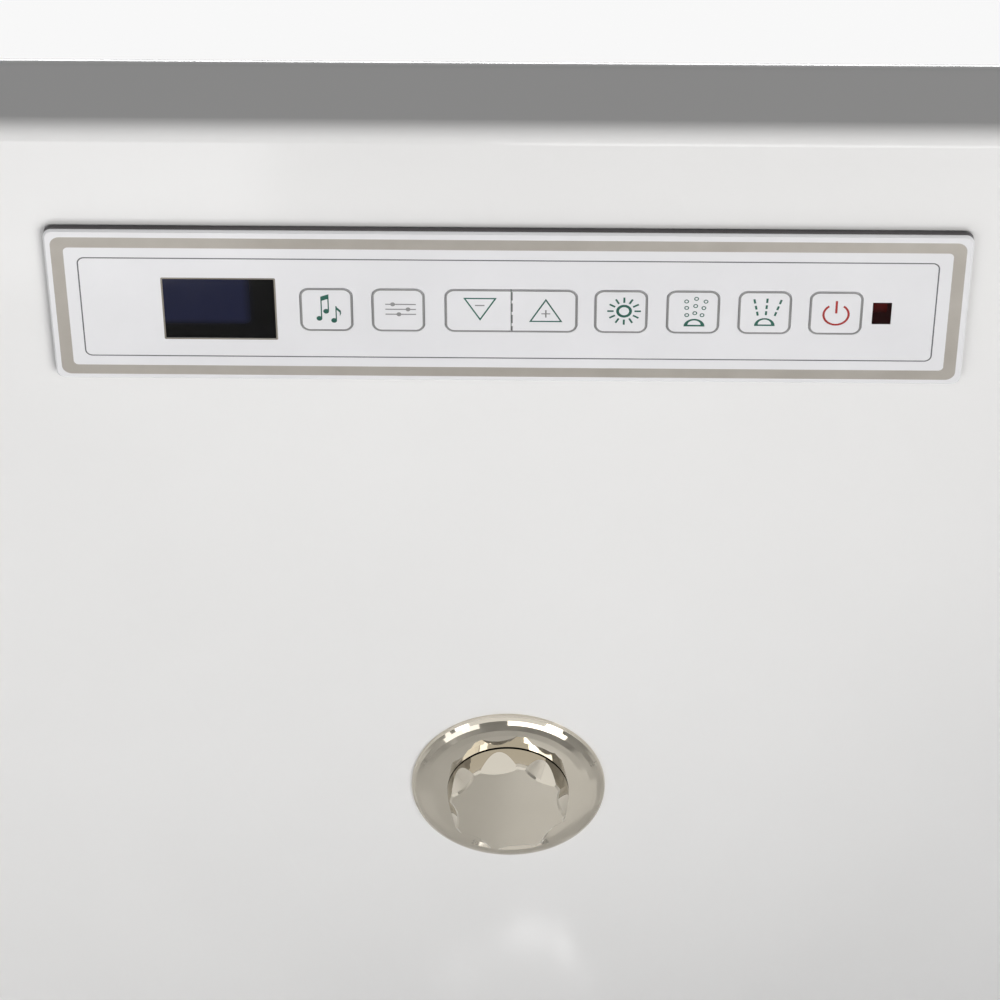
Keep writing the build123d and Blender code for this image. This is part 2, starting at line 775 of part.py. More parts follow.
finish(overflow_body, "overflow_body")

knob_top = knob_lift + knob_height
with BuildPart() as overflow_knob:
    turned(overflow_seat, [
        (0, knob_lift), (knob_base_r, knob_lift), (knob_face_r, knob_top - knob_bevel),
        (knob_face_r - knob_bevel, knob_top), (0, knob_top),
    ])
    for flute in range(flutes):
        turn = radians(90 + flute_turn + flute * 360 / flutes)
        reach = knob_face_r + flute_r - flute_depth
        turned(shifted(overflow_seat, reach * cos(turn), reach * sin(turn)), [
            (0, knob_lift), (flute_r - knob_height * tan(radians(flute_taper)), knob_lift),
            (flute_r, knob_top - knob_bevel), (flute_r + 2 * knob_bevel, knob_top + knob_bevel),
            (0, knob_top + knob_bevel),
        ], Mode.SUBTRACT)
    disc(overflow_seat, knob_shaft_r, -cup_depth + bush_length / 2, knob_lift)
finish(overflow_knob, "overflow_knob")

# Waste: flange in the floor, body below, plug, trap, pipe and cable from the overflow
drain_gasket_face = -shell - rubber_thick
with BuildPart() as drain_flange:
    turned(drain_seat, [
        (drain_bore_r, 0), (drain_flange_r, 0), (drain_flange_r, 0.8), (drain_flange_r - 3, 2.5),
        (drain_bore_r + 3, 2.5), (drain_bore_r + 2, 1.5), (drain_bore_r, 1.5),
    ])
    turned(drain_seat, [
        (drain_bore_r, 0), (drain_tube_r - face_gap * 2, 0), (drain_tube_r - face_gap * 2, -spigot_length),
        (drain_bore_r, -spigot_length),
    ])
    for turn in range(3):
        with BuildSketch(drain_seat.offset(-spigot_length)):
            with PolarLocations(drain_bore_r / 2, 1, start_angle=120 * turn):
                Rectangle(drain_bore_r + 2, 2.5)
        extrude(amount=3)
    disc(drain_seat, plug_stem_r + 3, -spigot_length, -spigot_length + 10)
    disc(drain_seat, plug_stem_r + running_gap, -spigot_length - 1, -spigot_length + 12, Mode.SUBTRACT)
finish(drain_flange, "drain_flange")

with BuildPart() as drain_body:
    turned(drain_seat, [
        (drain_tube_r, drain_gasket_face), (drain_flange_r, drain_gasket_face),
        (drain_flange_r, drain_gasket_face - 4), (drain_tube_r + 3, drain_gasket_face - 4),
        (drain_tube_r + 3, trap_top - floor_level + collar), (drain_tube_r, trap_top - floor_level + collar),
        (drain_tube_r, trap_top - floor_level - 14), (drain_bore_r + 1.5, trap_top - floor_level - 14),
        (drain_bore_r + 1.5, -spigot_length - 6), (drain_tube_r, -spigot_length - 6),
    ])
    port_plane = Plane(origin=(0, drain_y, side_port_level), x_dir=(1, 0, 0), z_dir=(0, -1, 0))
    disc(port_plane, overflow_tail_r + 3, drain_bore_r + 4, port_reach)
    disc(port_plane, pipe_bore_r, drain_bore_r - 2, port_reach + 1, Mode.SUBTRACT)
    disc(port_plane, pipe_r + face_gap, port_reach - tail_socket / 2, port_reach + 1, Mode.SUBTRACT)
    with BuildSketch(shifted(port_plane, 0, 0, port_reach - 12)):
        with Locations((-cable_x, 0)):
            Circle(gland_r)
        with Locations((-cable_x / 2 - overflow_tail_r / 2 + 1, 0)):
            Rectangle(cable_x - overflow_tail_r, gland_r * 2)
    extrude(amount=12)
finish(drain_body, "drain_body")

with BuildPart() as waste_gaskets:
    turned(overflow_seat, [
        (overflow_hole_r, front_back_face), (overflow_flange_r, front_back_face),
        (overflow_flange_r, gasket_back), (overflow_hole_r, gasket_back),
    ])
    turned(drain_seat, [
        (drain_hole_r, -shell), (drain_flange_r, -shell), (drain_flange_r, drain_gasket_face),
        (drain_hole_r, drain_gasket_face),
    ])
finish(waste_gaskets, "waste_gaskets")

with BuildPart() as drain_plug:
    turned(drain_seat, [
        (0, 2.8), (plug_r, 2.8), (plug_r, 4.0), (plug_r - 3, 6.0), (plug_r * 0.6, 7.4), (0, 8.0),
    ])
    disc(drain_seat, plug_stem_r, -spigot_length - 4, 3)
    disc(drain_seat, drain_bore_r - 1.5, -2, 3)
finish(drain_plug, "drain_plug")

outlet_way = (sin(radians(outlet_turn)), cos(radians(outlet_turn)), 0)
with BuildPart() as drain_trap:
    trap_plane = Plane(origin=(0, drain_y, 0), x_dir=(1, 0, 0), z_dir=(0, 0, 1))
    turned(trap_plane, [
        (0, trap_bottom), (trap_r - 8, trap_bottom), (trap_r, trap_bottom + 8), (trap_r, trap_top),
        (drain_tube_r + 5, trap_top), (drain_tube_r + 5, trap_top + collar - 1),
        (drain_tube_r + face_gap, trap_top + collar - 1),
        (drain_tube_r + face_gap, trap_top - trap_wall), (trap_r - trap_wall, trap_top - trap_wall),
        (trap_r - trap_wall, trap_bottom + 9), (trap_r - 9, trap_bottom + trap_wall),
        (0, trap_bottom + trap_wall),
    ])
    outlet_plane = Plane(origin=(0, drain_y, outlet_level), z_dir=outlet_way)
    disc(outlet_plane, outlet_r, trap_r - trap_wall, outlet_reach)
    disc(outlet_plane, outlet_r + outlet_root_wall, trap_r - trap_wall, trap_r + outlet_root)
    disc(outlet_plane, outlet_r - trap_wall, trap_r - 2 * trap_wall, outlet_reach + 1, Mode.SUBTRACT)
finish(drain_trap, "drain_trap")

pipe_start = tail_plane.origin + Vector(0, 0, -(tail_length - tail_socket))
pipe_end = Vector(0, drain_y - port_reach + tail_socket / 2, side_port_level)
pipe_corner = Vector(0, pipe_start.Y, side_port_level)
with BuildPart() as overflow_pipe:
    swept_bar([pipe_start, pipe_corner, pipe_end], [pipe_bend], pipe_r)
    swept_bar([pipe_start, pipe_corner, pipe_end], [pipe_bend], pipe_bore_r, Mode.SUBTRACT)
finish(overflow_pipe, "overflow_pipe")

cable_start = gland_plane.origin + Vector(0, 0, -(gland_top + gland_length))
cable_end = Vector(-cable_x, drain_y - port_reach, side_port_level)
with BuildPart() as drain_cable:
    cable_corner = Vector(-cable_x, cable_start.Y, side_port_level)
    swept_bar([cable_start, cable_corner, cable_end], [pipe_bend * 0.9], cable_r)
finish(drain_cable, "drain_cable")


# Water ring pipe behind the walls, and the jets that sit on it
def ring_points(level, reach_rest, reach_return, end_along):
    """Corner points of a pipe that follows the basin behind both backrests, right half."""
    wall = along_depth(basin_wall, level) + reach_rest
    side = along_depth(basin_return, level) + reach_return
    back_y = along_depth(basin_back_y, level) + reach_rest
    back = (root2 * wall - back_y, back_y)
    tip = ((wall + side) / root2, (wall - side) / root2)
    end = ((side + end_along) / root2, (end_along - side) / root2)
    return back, tip, end


def pipe_reach(angle):
    """Level distance from the wall's face to the pipe's middle, at the pipe's level."""
    slope = radians(angle)
    return jet_depth * cos(slope) + jet_depth * sin(slope) * tan(slope)


ring_back, ring_tip, ring_end = ring_points(
    water_level, pipe_reach(backrest_angle), pipe_reach(return_angle), foot_jet_along - pipe_end_past)
ring_route = [
    (*ring_end, water_level), (*ring_tip, water_level), (*ring_back, water_level),
    (-ring_back[0], ring_back[1], water_level), (-ring_tip[0], ring_tip[1], water_level),
    (-ring_end[0], ring_end[1], water_level),
]
riser_x = ring_tip[0] - water_bend * (root2 - 1)
riser_y = ring_tip[1]
with BuildPart() as pressure_pipes:
    swept_bar(ring_route, [water_bend, water_bend, water_bend, water_bend], water_pipe_r)
    riser_plane = Plane(origin=(riser_x, riser_y, riser_bottom), x_dir=(1, 0, 0), z_dir=(0, 0, 1))
    disc(riser_plane, riser_r, 0, water_level - riser_bottom)
finish(pressure_pipes, "pressure_pipes")

with BuildPart() as pipe_clearance:
    swept_bar(ring_route, [water_bend, water_bend, water_bend, water_bend], water_pipe_r + running_gap)

with BuildPart() as jet_flanges:
    for seat, angle in jet_seats:
        turned(seat, [
            (ball_r + ball_gap, -spigot_reach), (jet_spigot_r, -spigot_reach), (jet_spigot_r, 0),
            (jet_flange_r, 0), (jet_flange_r, 1.2), (jet_flange_r - 3, 3.2), (ball_r + 4, 4.2),
            (ball_lip_r, 4.2), (ball_lip_r, 2.6), (ball_r + ball_gap, 1.6),
        ])
finish(jet_flanges, "jet_flanges")

with BuildPart() as jet_bodies:
    for seat, angle in jet_seats:
        back = -shell * cos(radians(angle))
        turned(seat, [
            (jet_spigot_r + face_gap, back), (jet_body_r + 4, back), (jet_body_r + 4, back - 4),
            (jet_body_r - 3, back - 6), (jet_body_r - 3, -jet_depth + 8), (0, -jet_depth + 8),
            (0, -jet_depth + water_pipe_r + 10), (ball_r - 6, -jet_depth + water_pipe_r + 10),
            (ball_r - 4, -spigot_reach - 2), (jet_spigot_r + face_gap, -spigot_reach - 2),
        ])
    add(pipe_clearance.part, mode=Mode.SUBTRACT)
finish(jet_bodies, "jet_bodies")

for number, (seat, angle) in enumerate(jet_seats, 1):
    with BuildPart() as nozzle:
        turned(seat, [
            (nozzle_bore_r, ball_middle - 14), (nozzle_bore_r, nozzle_front),
            (nozzle_bore_r + 3, nozzle_front),
            (nozzle_bore_r + 4, nozzle_front - 1), (nozzle_bore_r + 4, ball_middle - 14),
        ])
        ball_plane = shifted(seat, 0, 0, ball_middle)
        with BuildSketch(section(ball_plane)) as ball_profile:
            with BuildLine():
                top_angle = 22
                CenterArc((0, 0), ball_r, -45, 45 + 90 - top_angle)
                ball_top = (ball_r * sin(radians(top_angle)), ball_r * cos(radians(top_angle)))
                ball_low = (ball_r * cos(radians(45)), -ball_r * sin(radians(45)))
                Polyline(ball_top, (nozzle_bore_r, ball_top[1]), (nozzle_bore_r, ball_low[1]), ball_low)
            make_face()
        revolve(ball_profile.sketch, axis=Axis(seat.origin, seat.z_dir))
    finish(nozzle, f"jet_nozzle_{number}")

# Suction fitting and pipe
with BuildPart() as suction_cover:
    turned(suction_seat, [
        (0, 9), (suction_r * 0.55, 8), (suction_r - 6, 5), (suction_r, 1.5), (suction_r, 0),
        (suction_r - 4, 0), (suction_r - 8, 3), (suction_r * 0.5, 5.5), (0, 6.5),
    ])
    turned(suction_seat, [
        (suction_hole_r - 4, 2.5), (suction_hole_r - 4, -spigot_reach), (suction_hole_r - 1, -spigot_reach),
        (suction_hole_r - 1, 5.5), (suction_hole_r - 4, 6),
    ])
    for ring_r, count in ((10, 6), (20, 12), (35, 20)):
        with BuildSketch(suction_seat.offset(-spigot_reach - 1)):
            with PolarLocations(ring_r, count):
                Circle(grille_hole_r)
        extrude(amount=spigot_reach + 12, mode=Mode.SUBTRACT)
finish(suction_cover, "suction_cover")

suction_out = Vector(1 / root2, 1 / root2, 0)
with BuildPart() as suction_body:
    turned(suction_seat, [
        (suction_hole_r - 1 + face_gap, side_back_face), (suction_r, side_back_face),
        (suction_r, side_back_face - 4),
        (suction_hole_r + 3, side_back_face - 6), (suction_hole_r + 3, -suction_depth), (0, -suction_depth),
        (0, -suction_depth + 4), (suction_hole_r - 1 + face_gap, -suction_depth + 4),
    ])
    suction_middle = suction_seat.from_local_coords((0, 0, -suction_port_depth))
    port = Plane(origin=suction_middle, z_dir=suction_out)
    disc(port, suction_pipe_r + 3, suction_hole_r - 2, suction_port_reach)
    disc(port, suction_pipe_r + face_gap, suction_hole_r + 4, suction_port_reach + 1, Mode.SUBTRACT)
    disc(port, suction_pipe_r - 4, suction_hole_r - 6, suction_hole_r + 5, Mode.SUBTRACT)
finish(suction_body, "suction_body")

inlet_x = riser_x - volute_width / 2 - inlet_length
pump_seat = Plane(origin=(riser_x, riser_y, pump_axis), x_dir=(0, 1, 0), z_dir=(1, 0, 0))
suction_start = suction_middle + suction_out * (suction_hole_r + 4)
suction_reach = (riser_y - suction_start.Y) * root2
suction_turn = suction_start + suction_out * suction_reach
with BuildPart() as suction_pipe:
    suction_points = [suction_start, suction_turn, Vector(suction_turn.X, riser_y, pump_axis),
                      Vector(inlet_x, riser_y, pump_axis)]
    swept_bar(suction_points, [suction_bend, suction_bend], suction_pipe_r)
    swept_bar(suction_points, [suction_bend, suction_bend], suction_pipe_r - 3, Mode.SUBTRACT)
finish(suction_pipe, "suction_pipe")

# Pump: volute, impeller with its shaft, motor
volute_front = -volute_width / 2
volute_back = volute_width / 2
with BuildPart() as pump_volute:
    turned(pump_seat, [
        (suction_pipe_r + face_gap, volute_front - inlet_length),
        (suction_pipe_r + 5, volute_front - inlet_length),
        (suction_pipe_r + 5, volute_front - 4), (volute_r - 14, volute_front), (volute_r, volute_front + 12),
        (volute_r, volute_back - 6), (volute_r + 5, volute_back - 6), (volute_r + 5, volute_back),
        (pump_shaft_r + running_gap, volute_back), (pump_shaft_r + running_gap, volute_back - volute_wall),
        (volute_r - volute_wall, volute_back - volute_wall), (volute_r - volute_wall, volute_front + 14),
        (volute_r - 18, volute_front + volute_wall), (suction_pipe_r + face_gap, volute_front + volute_wall),
    ])
    outlet_seat = Plane(origin=(riser_x, riser_y, pump_axis), x_dir=(1, 0, 0), z_dir=(0, 0, 1))
    disc(outlet_seat, riser_r + 6, volute_r - 6, riser_bottom - pump_axis + union_length)
    disc(outlet_seat, riser_r + face_gap, riser_bottom - pump_axis,
         riser_bottom - pump_axis + union_length + 1,
         Mode.SUBTRACT)
    disc(outlet_seat, riser_r - 3, volute_r - volute_wall - 4, riser_bottom - pump_axis + 1, Mode.SUBTRACT)
    with BuildSketch(Plane(origin=(riser_x, riser_y, tray_foot + tray_thick))):
        Rectangle(volute_width * 0.7, volute_r * 1.1)
    extrude(amount=pump_axis - volute_r - tray_foot - tray_thick + 8)
finish(pump_volute, "pump_volute")

with BuildPart() as pump_rotor:
    turned(pump_seat, [
        (0, rotor_back - 10), (pump_shaft_r + 4, rotor_back - 10), (pump_shaft_r + 4, rotor_back - 3),
        (impeller_r, rotor_back - 3), (impeller_r, rotor_back), (pump_shaft_r, rotor_back),
        (pump_shaft_r, volute_back + rotor_shaft), (0, volute_back + rotor_shaft),
    ])
    for blade in range(blades):
        with BuildSketch(pump_seat.offset(rotor_back - 3 - blade_width)):
            with PolarLocations(impeller_r / 2, 1, start_angle=blade * 360 / blades):
                with Locations(Location((0, 0), blade_slant)):
                    Rectangle(impeller_r * 0.9, 3)
        extrude(amount=blade_width + 1)
finish(pump_rotor, "pump_rotor")

with BuildPart() as pump_motor:
    motor_front = volute_back
    motor_back = volute_back + motor_length
    turned(pump_seat, [
        (pump_shaft_r + running_gap, motor_front), (motor_r, motor_front), (motor_r, motor_front + 10),
        (motor_r - 4, motor_front + 14), (motor_r - 4, motor_back - 32), (motor_r, motor_back - 28),
        (motor_r, motor_back - 6), (motor_r - 8, motor_back), (0, motor_back),
        (0, motor_front + rotor_shaft + face_gap),
        (pump_shaft_r + running_gap, motor_front + rotor_shaft + face_gap),
    ])
    for fin in range(motor_fins):
        fin_plane = Plane(origin=pump_seat.origin, x_dir=pump_seat.x_dir, z_dir=pump_seat.z_dir)
        with BuildSketch(fin_plane.offset(motor_front + 12)):
            with PolarLocations(motor_r - 3, 1, start_angle=fin * 360 / motor_fins):
                Rectangle(6, 3)
        extrude(amount=motor_length - 42)
    motor_middle = riser_x + volute_back + motor_length / 2
    with BuildSketch(Plane(origin=(motor_middle, riser_y, tray_foot + tray_thick))):
        Rectangle(motor_length * 0.6, motor_r * 1.4)
    extrude(amount=pump_axis - motor_r - tray_foot - tray_thick + 12)
finish(pump_motor, "pump_motor")

# Trays that carry the pump and the blower on rubber feet
with BuildPart() as equipment_trays:
    for side in (1, -1):
        with BuildSketch(Plane.XY.offset(tray_foot)):
            with Locations((side * (tray_x[0] + tray_x[1]) / 2, (tray_y[0] + tray_y[1]) / 2)):
                RectangleRounded(tray_x[1] - tray_x[0], tray_y[1] - tray_y[0], 10)
        extrude(amount=tray_thick)
finish(equipment_trays, "equipment_trays")

# Blower with its fan, the air pipe and the bubble jets in the floor
blower_x = -riser_x
blower_y = air_row_y - blower_r + air_pipe_r + blower_wall + 3
blower_seat = Plane(origin=(blower_x, blower_y, 0), x_dir=(1, 0, 0), z_dir=(0, 0, 1))
nozzle_seat = Plane(origin=(blower_x, air_row_y, air_level), x_dir=(0, 1, 0), z_dir=(1, 0, 0))
with BuildPart() as blower_housing:
    disc(blower_seat, blower_r, blower_low, blower_high)
    disc(nozzle_seat, air_pipe_r + blower_wall, 0, blower_r + 24)
    disc(nozzle_seat, air_pipe_r + face_gap, blower_r - 4, blower_r + 25, Mode.SUBTRACT)
    disc(nozzle_seat, air_pipe_r - 2, 20, blower_r, Mode.SUBTRACT)
    disc(blower_seat, blower_r - blower_wall, blower_low + blower_wall, blower_high - blower_wall,
         Mode.SUBTRACT)
    disc(blower_seat, blower_motor_r, blower_high, blower_top)
    disc(blower_seat, fan_shaft_r + running_gap, blower_high - blower_wall - 1, blower_high + fan_shaft,
         Mode.SUBTRACT)
    for turn in range(3):
        with BuildSketch(blower_seat.offset(tray_foot + tray_thick)):
            with PolarLocations(blower_r - 12, 1, start_angle=90 + 120 * turn):
                Circle(8)
        extrude(amount=blower_low - tray_foot - tray_thick + 1)
finish(blower_housing, "blower_housing")

with BuildPart() as blower_fan:
    disc(blower_seat, fan_r, fan_low, fan_low + 3)
    disc(blower_seat, fan_shaft_r, fan_low, blower_high + fan_shaft - face_gap)
    for blade in range(fan_blades):
        with BuildSketch(blower_seat.offset(fan_low + 2)):
            with PolarLocations(fan_r - 8, 1, start_angle=blade * 360 / fan_blades):
                with Locations(Location((0, 0), 30)):
                    Rectangle(14, 2)
        extrude(amount=fan_height)
finish(blower_fan, "blower_fan")

air_left_x = blower_x + blower_r - 3
air_right_x = bubble_x[-1] + air_pipe_past
with BuildPart() as air_pipe:
    air_seat = Plane(origin=(air_left_x, air_row_y, air_level), x_dir=(0, 1, 0), z_dir=(1, 0, 0))
    disc(air_seat, air_pipe_r, 0, air_right_x - air_left_x)
finish(air_pipe, "air_pipe")

with BuildPart() as bubble_jets:
    for seat in bubble_seats:
        turned(seat, [
            (0, 2.5), (bubble_cap_r - 3, 2.2), (bubble_cap_r, 0.8), (bubble_cap_r, 0), (bubble_stem_r, 0),
            (bubble_stem_r, air_level - floor_level), (0, air_level - floor_level),
        ])
        turned(seat, [
            (bubble_stem_r - 1, -shell), (bubble_cap_r, -shell), (bubble_cap_r, -shell - 5),
            (bubble_stem_r - 1, -shell - 5),
        ])
    disc(air_seat, air_pipe_r + running_gap, 0, air_right_x - air_left_x, Mode.SUBTRACT)
finish(bubble_jets, "bubble_jets")

# Air regulator on the deck, with its hose to the water pipe
with BuildPart() as air_regulator:
    turned(regulator_seat, [
        (regulator_bore_r, 0), (regulator_r, 0), (regulator_r, 1.5), (regulator_r - 3, 3.0),
        (regulator_bore_r, 3.0),
    ])
    turned(regulator_seat, [
        (regulator_bore_r, 0), (regulator_hole_r - face_gap, 0),
        (regulator_hole_r - face_gap, -regulator_depth),
        (0, -regulator_depth), (0, -regulator_depth + 6), (regulator_bore_r, -regulator_depth + 6),
    ])
    turned(regulator_seat, [
        (regulator_hole_r - 1, -shell), (regulator_r, -shell), (regulator_r, -shell - 6),
        (regulator_hole_r - 1, -shell - 6),
    ])
finish(air_regulator, "air_regulator")

with BuildPart() as air_knob:
    turned(regulator_seat, [
        (0, 3.4), (regulator_r - 4, 3.4), (regulator_r - 4, 8), (regulator_r - 6, 14),
        (regulator_r - 9, 15.5), (0, 15.5),
    ])
    with BuildSketch(regulator_seat.offset(3)):
        with PolarLocations(regulator_r + 1, 10):
            Circle(6)
    extrude(amount=16, mode=Mode.SUBTRACT)
    disc(regulator_seat, regulator_bore_r - running_gap, -regulator_depth + 6 + face_gap, 3.6)
finish(air_knob, "air_knob")

hose_start = Vector(*regulator_seat.origin) + Vector(0, 0, -regulator_depth)
rest_wall_direction = Vector(1 / root2, 1 / root2, 0)
ring_wall_distance = along_depth(basin_wall, water_level) + pipe_reach(backrest_angle)
hose_top_distance = wall_line - deck_wall / 2
hose_turn = Vector(hose_start.X, hose_start.Y, water_level + hose_rise)
hose_run = rest_wall_direction * (hose_top_distance - ring_wall_distance)
hose_end = hose_turn - hose_run + Vector(0, 0, -hose_rise)
with BuildPart() as air_hose:
    swept_bar([hose_start, hose_turn, hose_end], [hose_bend], air_hose_r)
    add(pipe_clearance.part, mode=Mode.SUBTRACT)
finish(air_hose, "air_hose")

# Lamp in the wall, loudspeakers in the deck, control box on the back post
with BuildPart() as lamp_lens:
    turned(lamp_seat, [
        (0, 7), (lamp_hole_r * 0.6, 6.2), (lamp_hole_r - 3, 3.4), (lamp_hole_r - 3, 1), (0, 1),
    ])
finish(lamp_lens, "lamp_lens")

with BuildPart() as lamp_housing:
    turned(lamp_seat, [
        (lamp_hole_r - 3 + face_gap, 1), (lamp_hole_r - 3 + face_gap, 3.6), (lamp_r - 3, 3.2),
        (lamp_r, 1.2), (lamp_r, 0),
        (lamp_hole_r - 1, 0), (lamp_hole_r - 1, -lamp_depth), (0, -lamp_depth), (0, 1),
    ])
    turned(lamp_seat, [
        (lamp_hole_r - 2, side_back_face), (lamp_r, side_back_face), (lamp_r, side_back_face - 8),
        (lamp_hole_r - 2, side_back_face - 8),
    ])
finish(lamp_housing, "lamp_housing")

with BuildPart() as speakers:
    for seat in speaker_seats:
        turned(seat, [
            (0, 5.5), (speaker_r * 0.6, 5.2), (speaker_r - 6, 4), (speaker_r, 1.2), (speaker_r, 0),
            (speaker_hole_r - 1, 0), (speaker_hole_r - 1, -12), (speaker_hole_r * 0.55, -34),
            (speaker_hole_r * 0.55, -46), (0, -46),
        ])
finish(speakers, "speakers")

box_back_y = spine_end_y
with BuildPart() as control_box:
    with BuildSketch(Plane(origin=(0, box_back_y, box_level), x_dir=(1, 0, 0), z_dir=(0, -1, 0))):
        RectangleRounded(box_size[0], box_size[2], 8)
    extrude(amount=box_size[1])
    fillet(control_box.faces().sort_by(Axis.Y)[0].edges(), 4)
    box_underside = (0, box_back_y - box_size[1] / 2, box_level - box_size[2] / 2)
    with BuildSketch(Plane(origin=box_underside, z_dir=(0, 0, -1))):
        with GridLocations(34, 1, 4, 1):
            Circle(9)
    extrude(amount=14)
finish(control_box, "control_box")

# Head pillows on both backrests
with BuildPart() as head_pillows:
    for side in (1, -1):
        pillow_level = rim_height - pillow_drop * cos(radians(backrest_angle))
        seat = side_seat(side, "backrest", sum(jet_along) / 2, pillow_level)
        layers = [(0, 0.94, 0.86), (0.3, 1.0, 0.98), (0.6, 0.97, 0.92), (0.85, 0.86, 0.72), (1.0, 0.7, 0.42)]
        faces = []
        for height, share_x, share_y in layers:
            with BuildSketch(seat.offset(soft_gap + height * pillow_size[2])) as layer:
                RectangleRounded(pillow_size[0] * share_x, pillow_size[1] * share_y,
                                 pillow_size[1] * share_y * 0.42)
            faces.append(layer.sketch)
        loft(faces, ruled=True)
finish(head_pillows, "head_pillows")
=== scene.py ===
"""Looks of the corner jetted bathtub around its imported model. Metres, +Z up, front apron towards -Y."""
import json
import math

import bmesh
import bpy
from mathutils import Matrix, Vector


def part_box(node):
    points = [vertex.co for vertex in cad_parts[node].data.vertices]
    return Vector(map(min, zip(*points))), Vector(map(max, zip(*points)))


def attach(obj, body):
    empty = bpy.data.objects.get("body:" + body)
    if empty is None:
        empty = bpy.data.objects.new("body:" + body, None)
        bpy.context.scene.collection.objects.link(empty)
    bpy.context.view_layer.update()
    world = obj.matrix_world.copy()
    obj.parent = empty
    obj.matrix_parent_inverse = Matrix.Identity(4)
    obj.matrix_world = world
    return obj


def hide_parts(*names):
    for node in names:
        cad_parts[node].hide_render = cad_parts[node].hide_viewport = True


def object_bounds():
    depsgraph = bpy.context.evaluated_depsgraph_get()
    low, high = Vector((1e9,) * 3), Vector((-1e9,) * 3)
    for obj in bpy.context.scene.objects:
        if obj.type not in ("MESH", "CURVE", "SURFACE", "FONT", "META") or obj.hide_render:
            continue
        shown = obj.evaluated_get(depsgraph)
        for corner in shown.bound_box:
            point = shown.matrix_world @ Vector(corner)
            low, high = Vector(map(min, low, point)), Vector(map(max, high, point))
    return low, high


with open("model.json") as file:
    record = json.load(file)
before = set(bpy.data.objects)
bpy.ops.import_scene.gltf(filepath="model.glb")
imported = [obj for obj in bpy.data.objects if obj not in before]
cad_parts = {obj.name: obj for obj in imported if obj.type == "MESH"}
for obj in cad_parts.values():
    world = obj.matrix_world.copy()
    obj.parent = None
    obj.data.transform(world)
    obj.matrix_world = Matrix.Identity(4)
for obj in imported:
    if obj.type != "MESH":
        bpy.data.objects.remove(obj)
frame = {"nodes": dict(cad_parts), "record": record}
cad_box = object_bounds()
nodes = frame["nodes"]
joints = {joint["name"]: joint for joint in frame["record"]["behaviour"]["joints"]}
mm = 0.001


# Materials: one function each, same-everywhere values on the shader's sockets
def new_material(name, **values):
    """A material with one Principled shader, and that shader."""
    material = bpy.data.materials.new(name)
    material.use_nodes = True
    shader = material.node_tree.nodes["Principled BSDF"]
    for socket, value in values.items():
        shader.inputs[socket.replace("_", " ")].default_value = value
    return material, shader


def add_node(material, kind, inputs=(), **settings):
    """A shader node with its settings and input values."""
    node = material.node_tree.nodes.new(kind)
    for name, value in settings.items():
        setattr(node, name, value)
    for name, value in dict(inputs).items():
        node.inputs[name].default_value = value
    return node


def join(material, source, target):
    """A link from one socket to another."""
    material.node_tree.links.new(source, target)


def object_noise(material, scale, detail=4.0, stretch=(1.0, 1.0, 1.0)):
    """Noise over the piece's own coordinates, in features per metre."""
    place = add_node(material, "ShaderNodeTexCoord")
    sized = add_node(material, "ShaderNodeMapping", {"Scale": stretch})
    grain = add_node(material, "ShaderNodeTexNoise", {"Scale": scale, "Detail": detail})
    join(material, place.outputs["Object"], sized.inputs["Vector"])
    join(material, sized.outputs["Vector"], grain.inputs["Vector"])
    return grain.outputs["Fac"]


def vary_colour(material, shader, fac, dark, light, low=0.3, high=0.7):
    """The base colour drifts between two near tones."""
    ramp = add_node(material, "ShaderNodeValToRGB")
    ramp.color_ramp.elements[0].position = low
    ramp.color_ramp.elements[1].position = high
    ramp.color_ramp.elements[0].color = (*dark, 1)
    ramp.color_ramp.elements[1].color = (*light, 1)
    join(material, fac, ramp.inputs["Fac"])
    join(material, ramp.outputs["Color"], shader.inputs["Base Color"])


def vary_roughness(material, shader, fac, low, high):
    """The roughness drifts between two values."""
    spread = add_node(material, "ShaderNodeMapRange", {"To Min": low, "To Max": high})
    join(material, fac, spread.inputs["Value"])
    join(material, spread.outputs["Result"], shader.inputs["Roughness"])


def bump(material, shader, fac, depth, strength=1.0):
    """Fine relief of the given depth in metres."""
    relief = add_node(material, "ShaderNodeBump", {"Distance": depth, "Strength": strength})
    join(material, fac, relief.inputs["Height"])
    join(material, relief.outputs["Normal"], shader.inputs["Normal"])


def acrylic(name):
    """Polished sanitary acrylic: white body, clear gloss, faint smears and waviness."""
    material, shader = new_material(name, IOR=1.49)
    cloud = object_noise(material, 5, 3)
    vary_colour(material, shader, cloud, (0.855, 0.852, 0.848), (0.885, 0.883, 0.88))
    vary_roughness(material, shader, object_noise(material, 14, 5), 0.06, 0.16)
    bump(material, shader, object_noise(material, 30, 2), 0.02 * mm)
    return material


def metal(name, dark, light, rough, scale, relief, stretch=(1, 1, 1), metallic=1.0):
    """Bare or plated metal with grain."""
    material, shader = new_material(name, Metallic=metallic)
    grain = object_noise(material, scale, 6, stretch)
    vary_colour(material, shader, grain, dark, light)
    vary_roughness(material, shader, object_noise(material, scale / 3, 4), *rough)
    bump(material, shader, grain, relief)
    return material


def moulded(name, dark, light, rough, scale=900, relief=0.03 * mm, **values):
    """Moulded plastic or rubber with a fine even grain and slow changes of tone."""
    material, shader = new_material(name, **values)
    vary_colour(material, shader, object_noise(material, 25, 5), dark, light)
    vary_roughness(material, shader, object_noise(material, 60, 5), *rough)
    bump(material, shader, object_noise(material, scale, 2), relief)
    return material


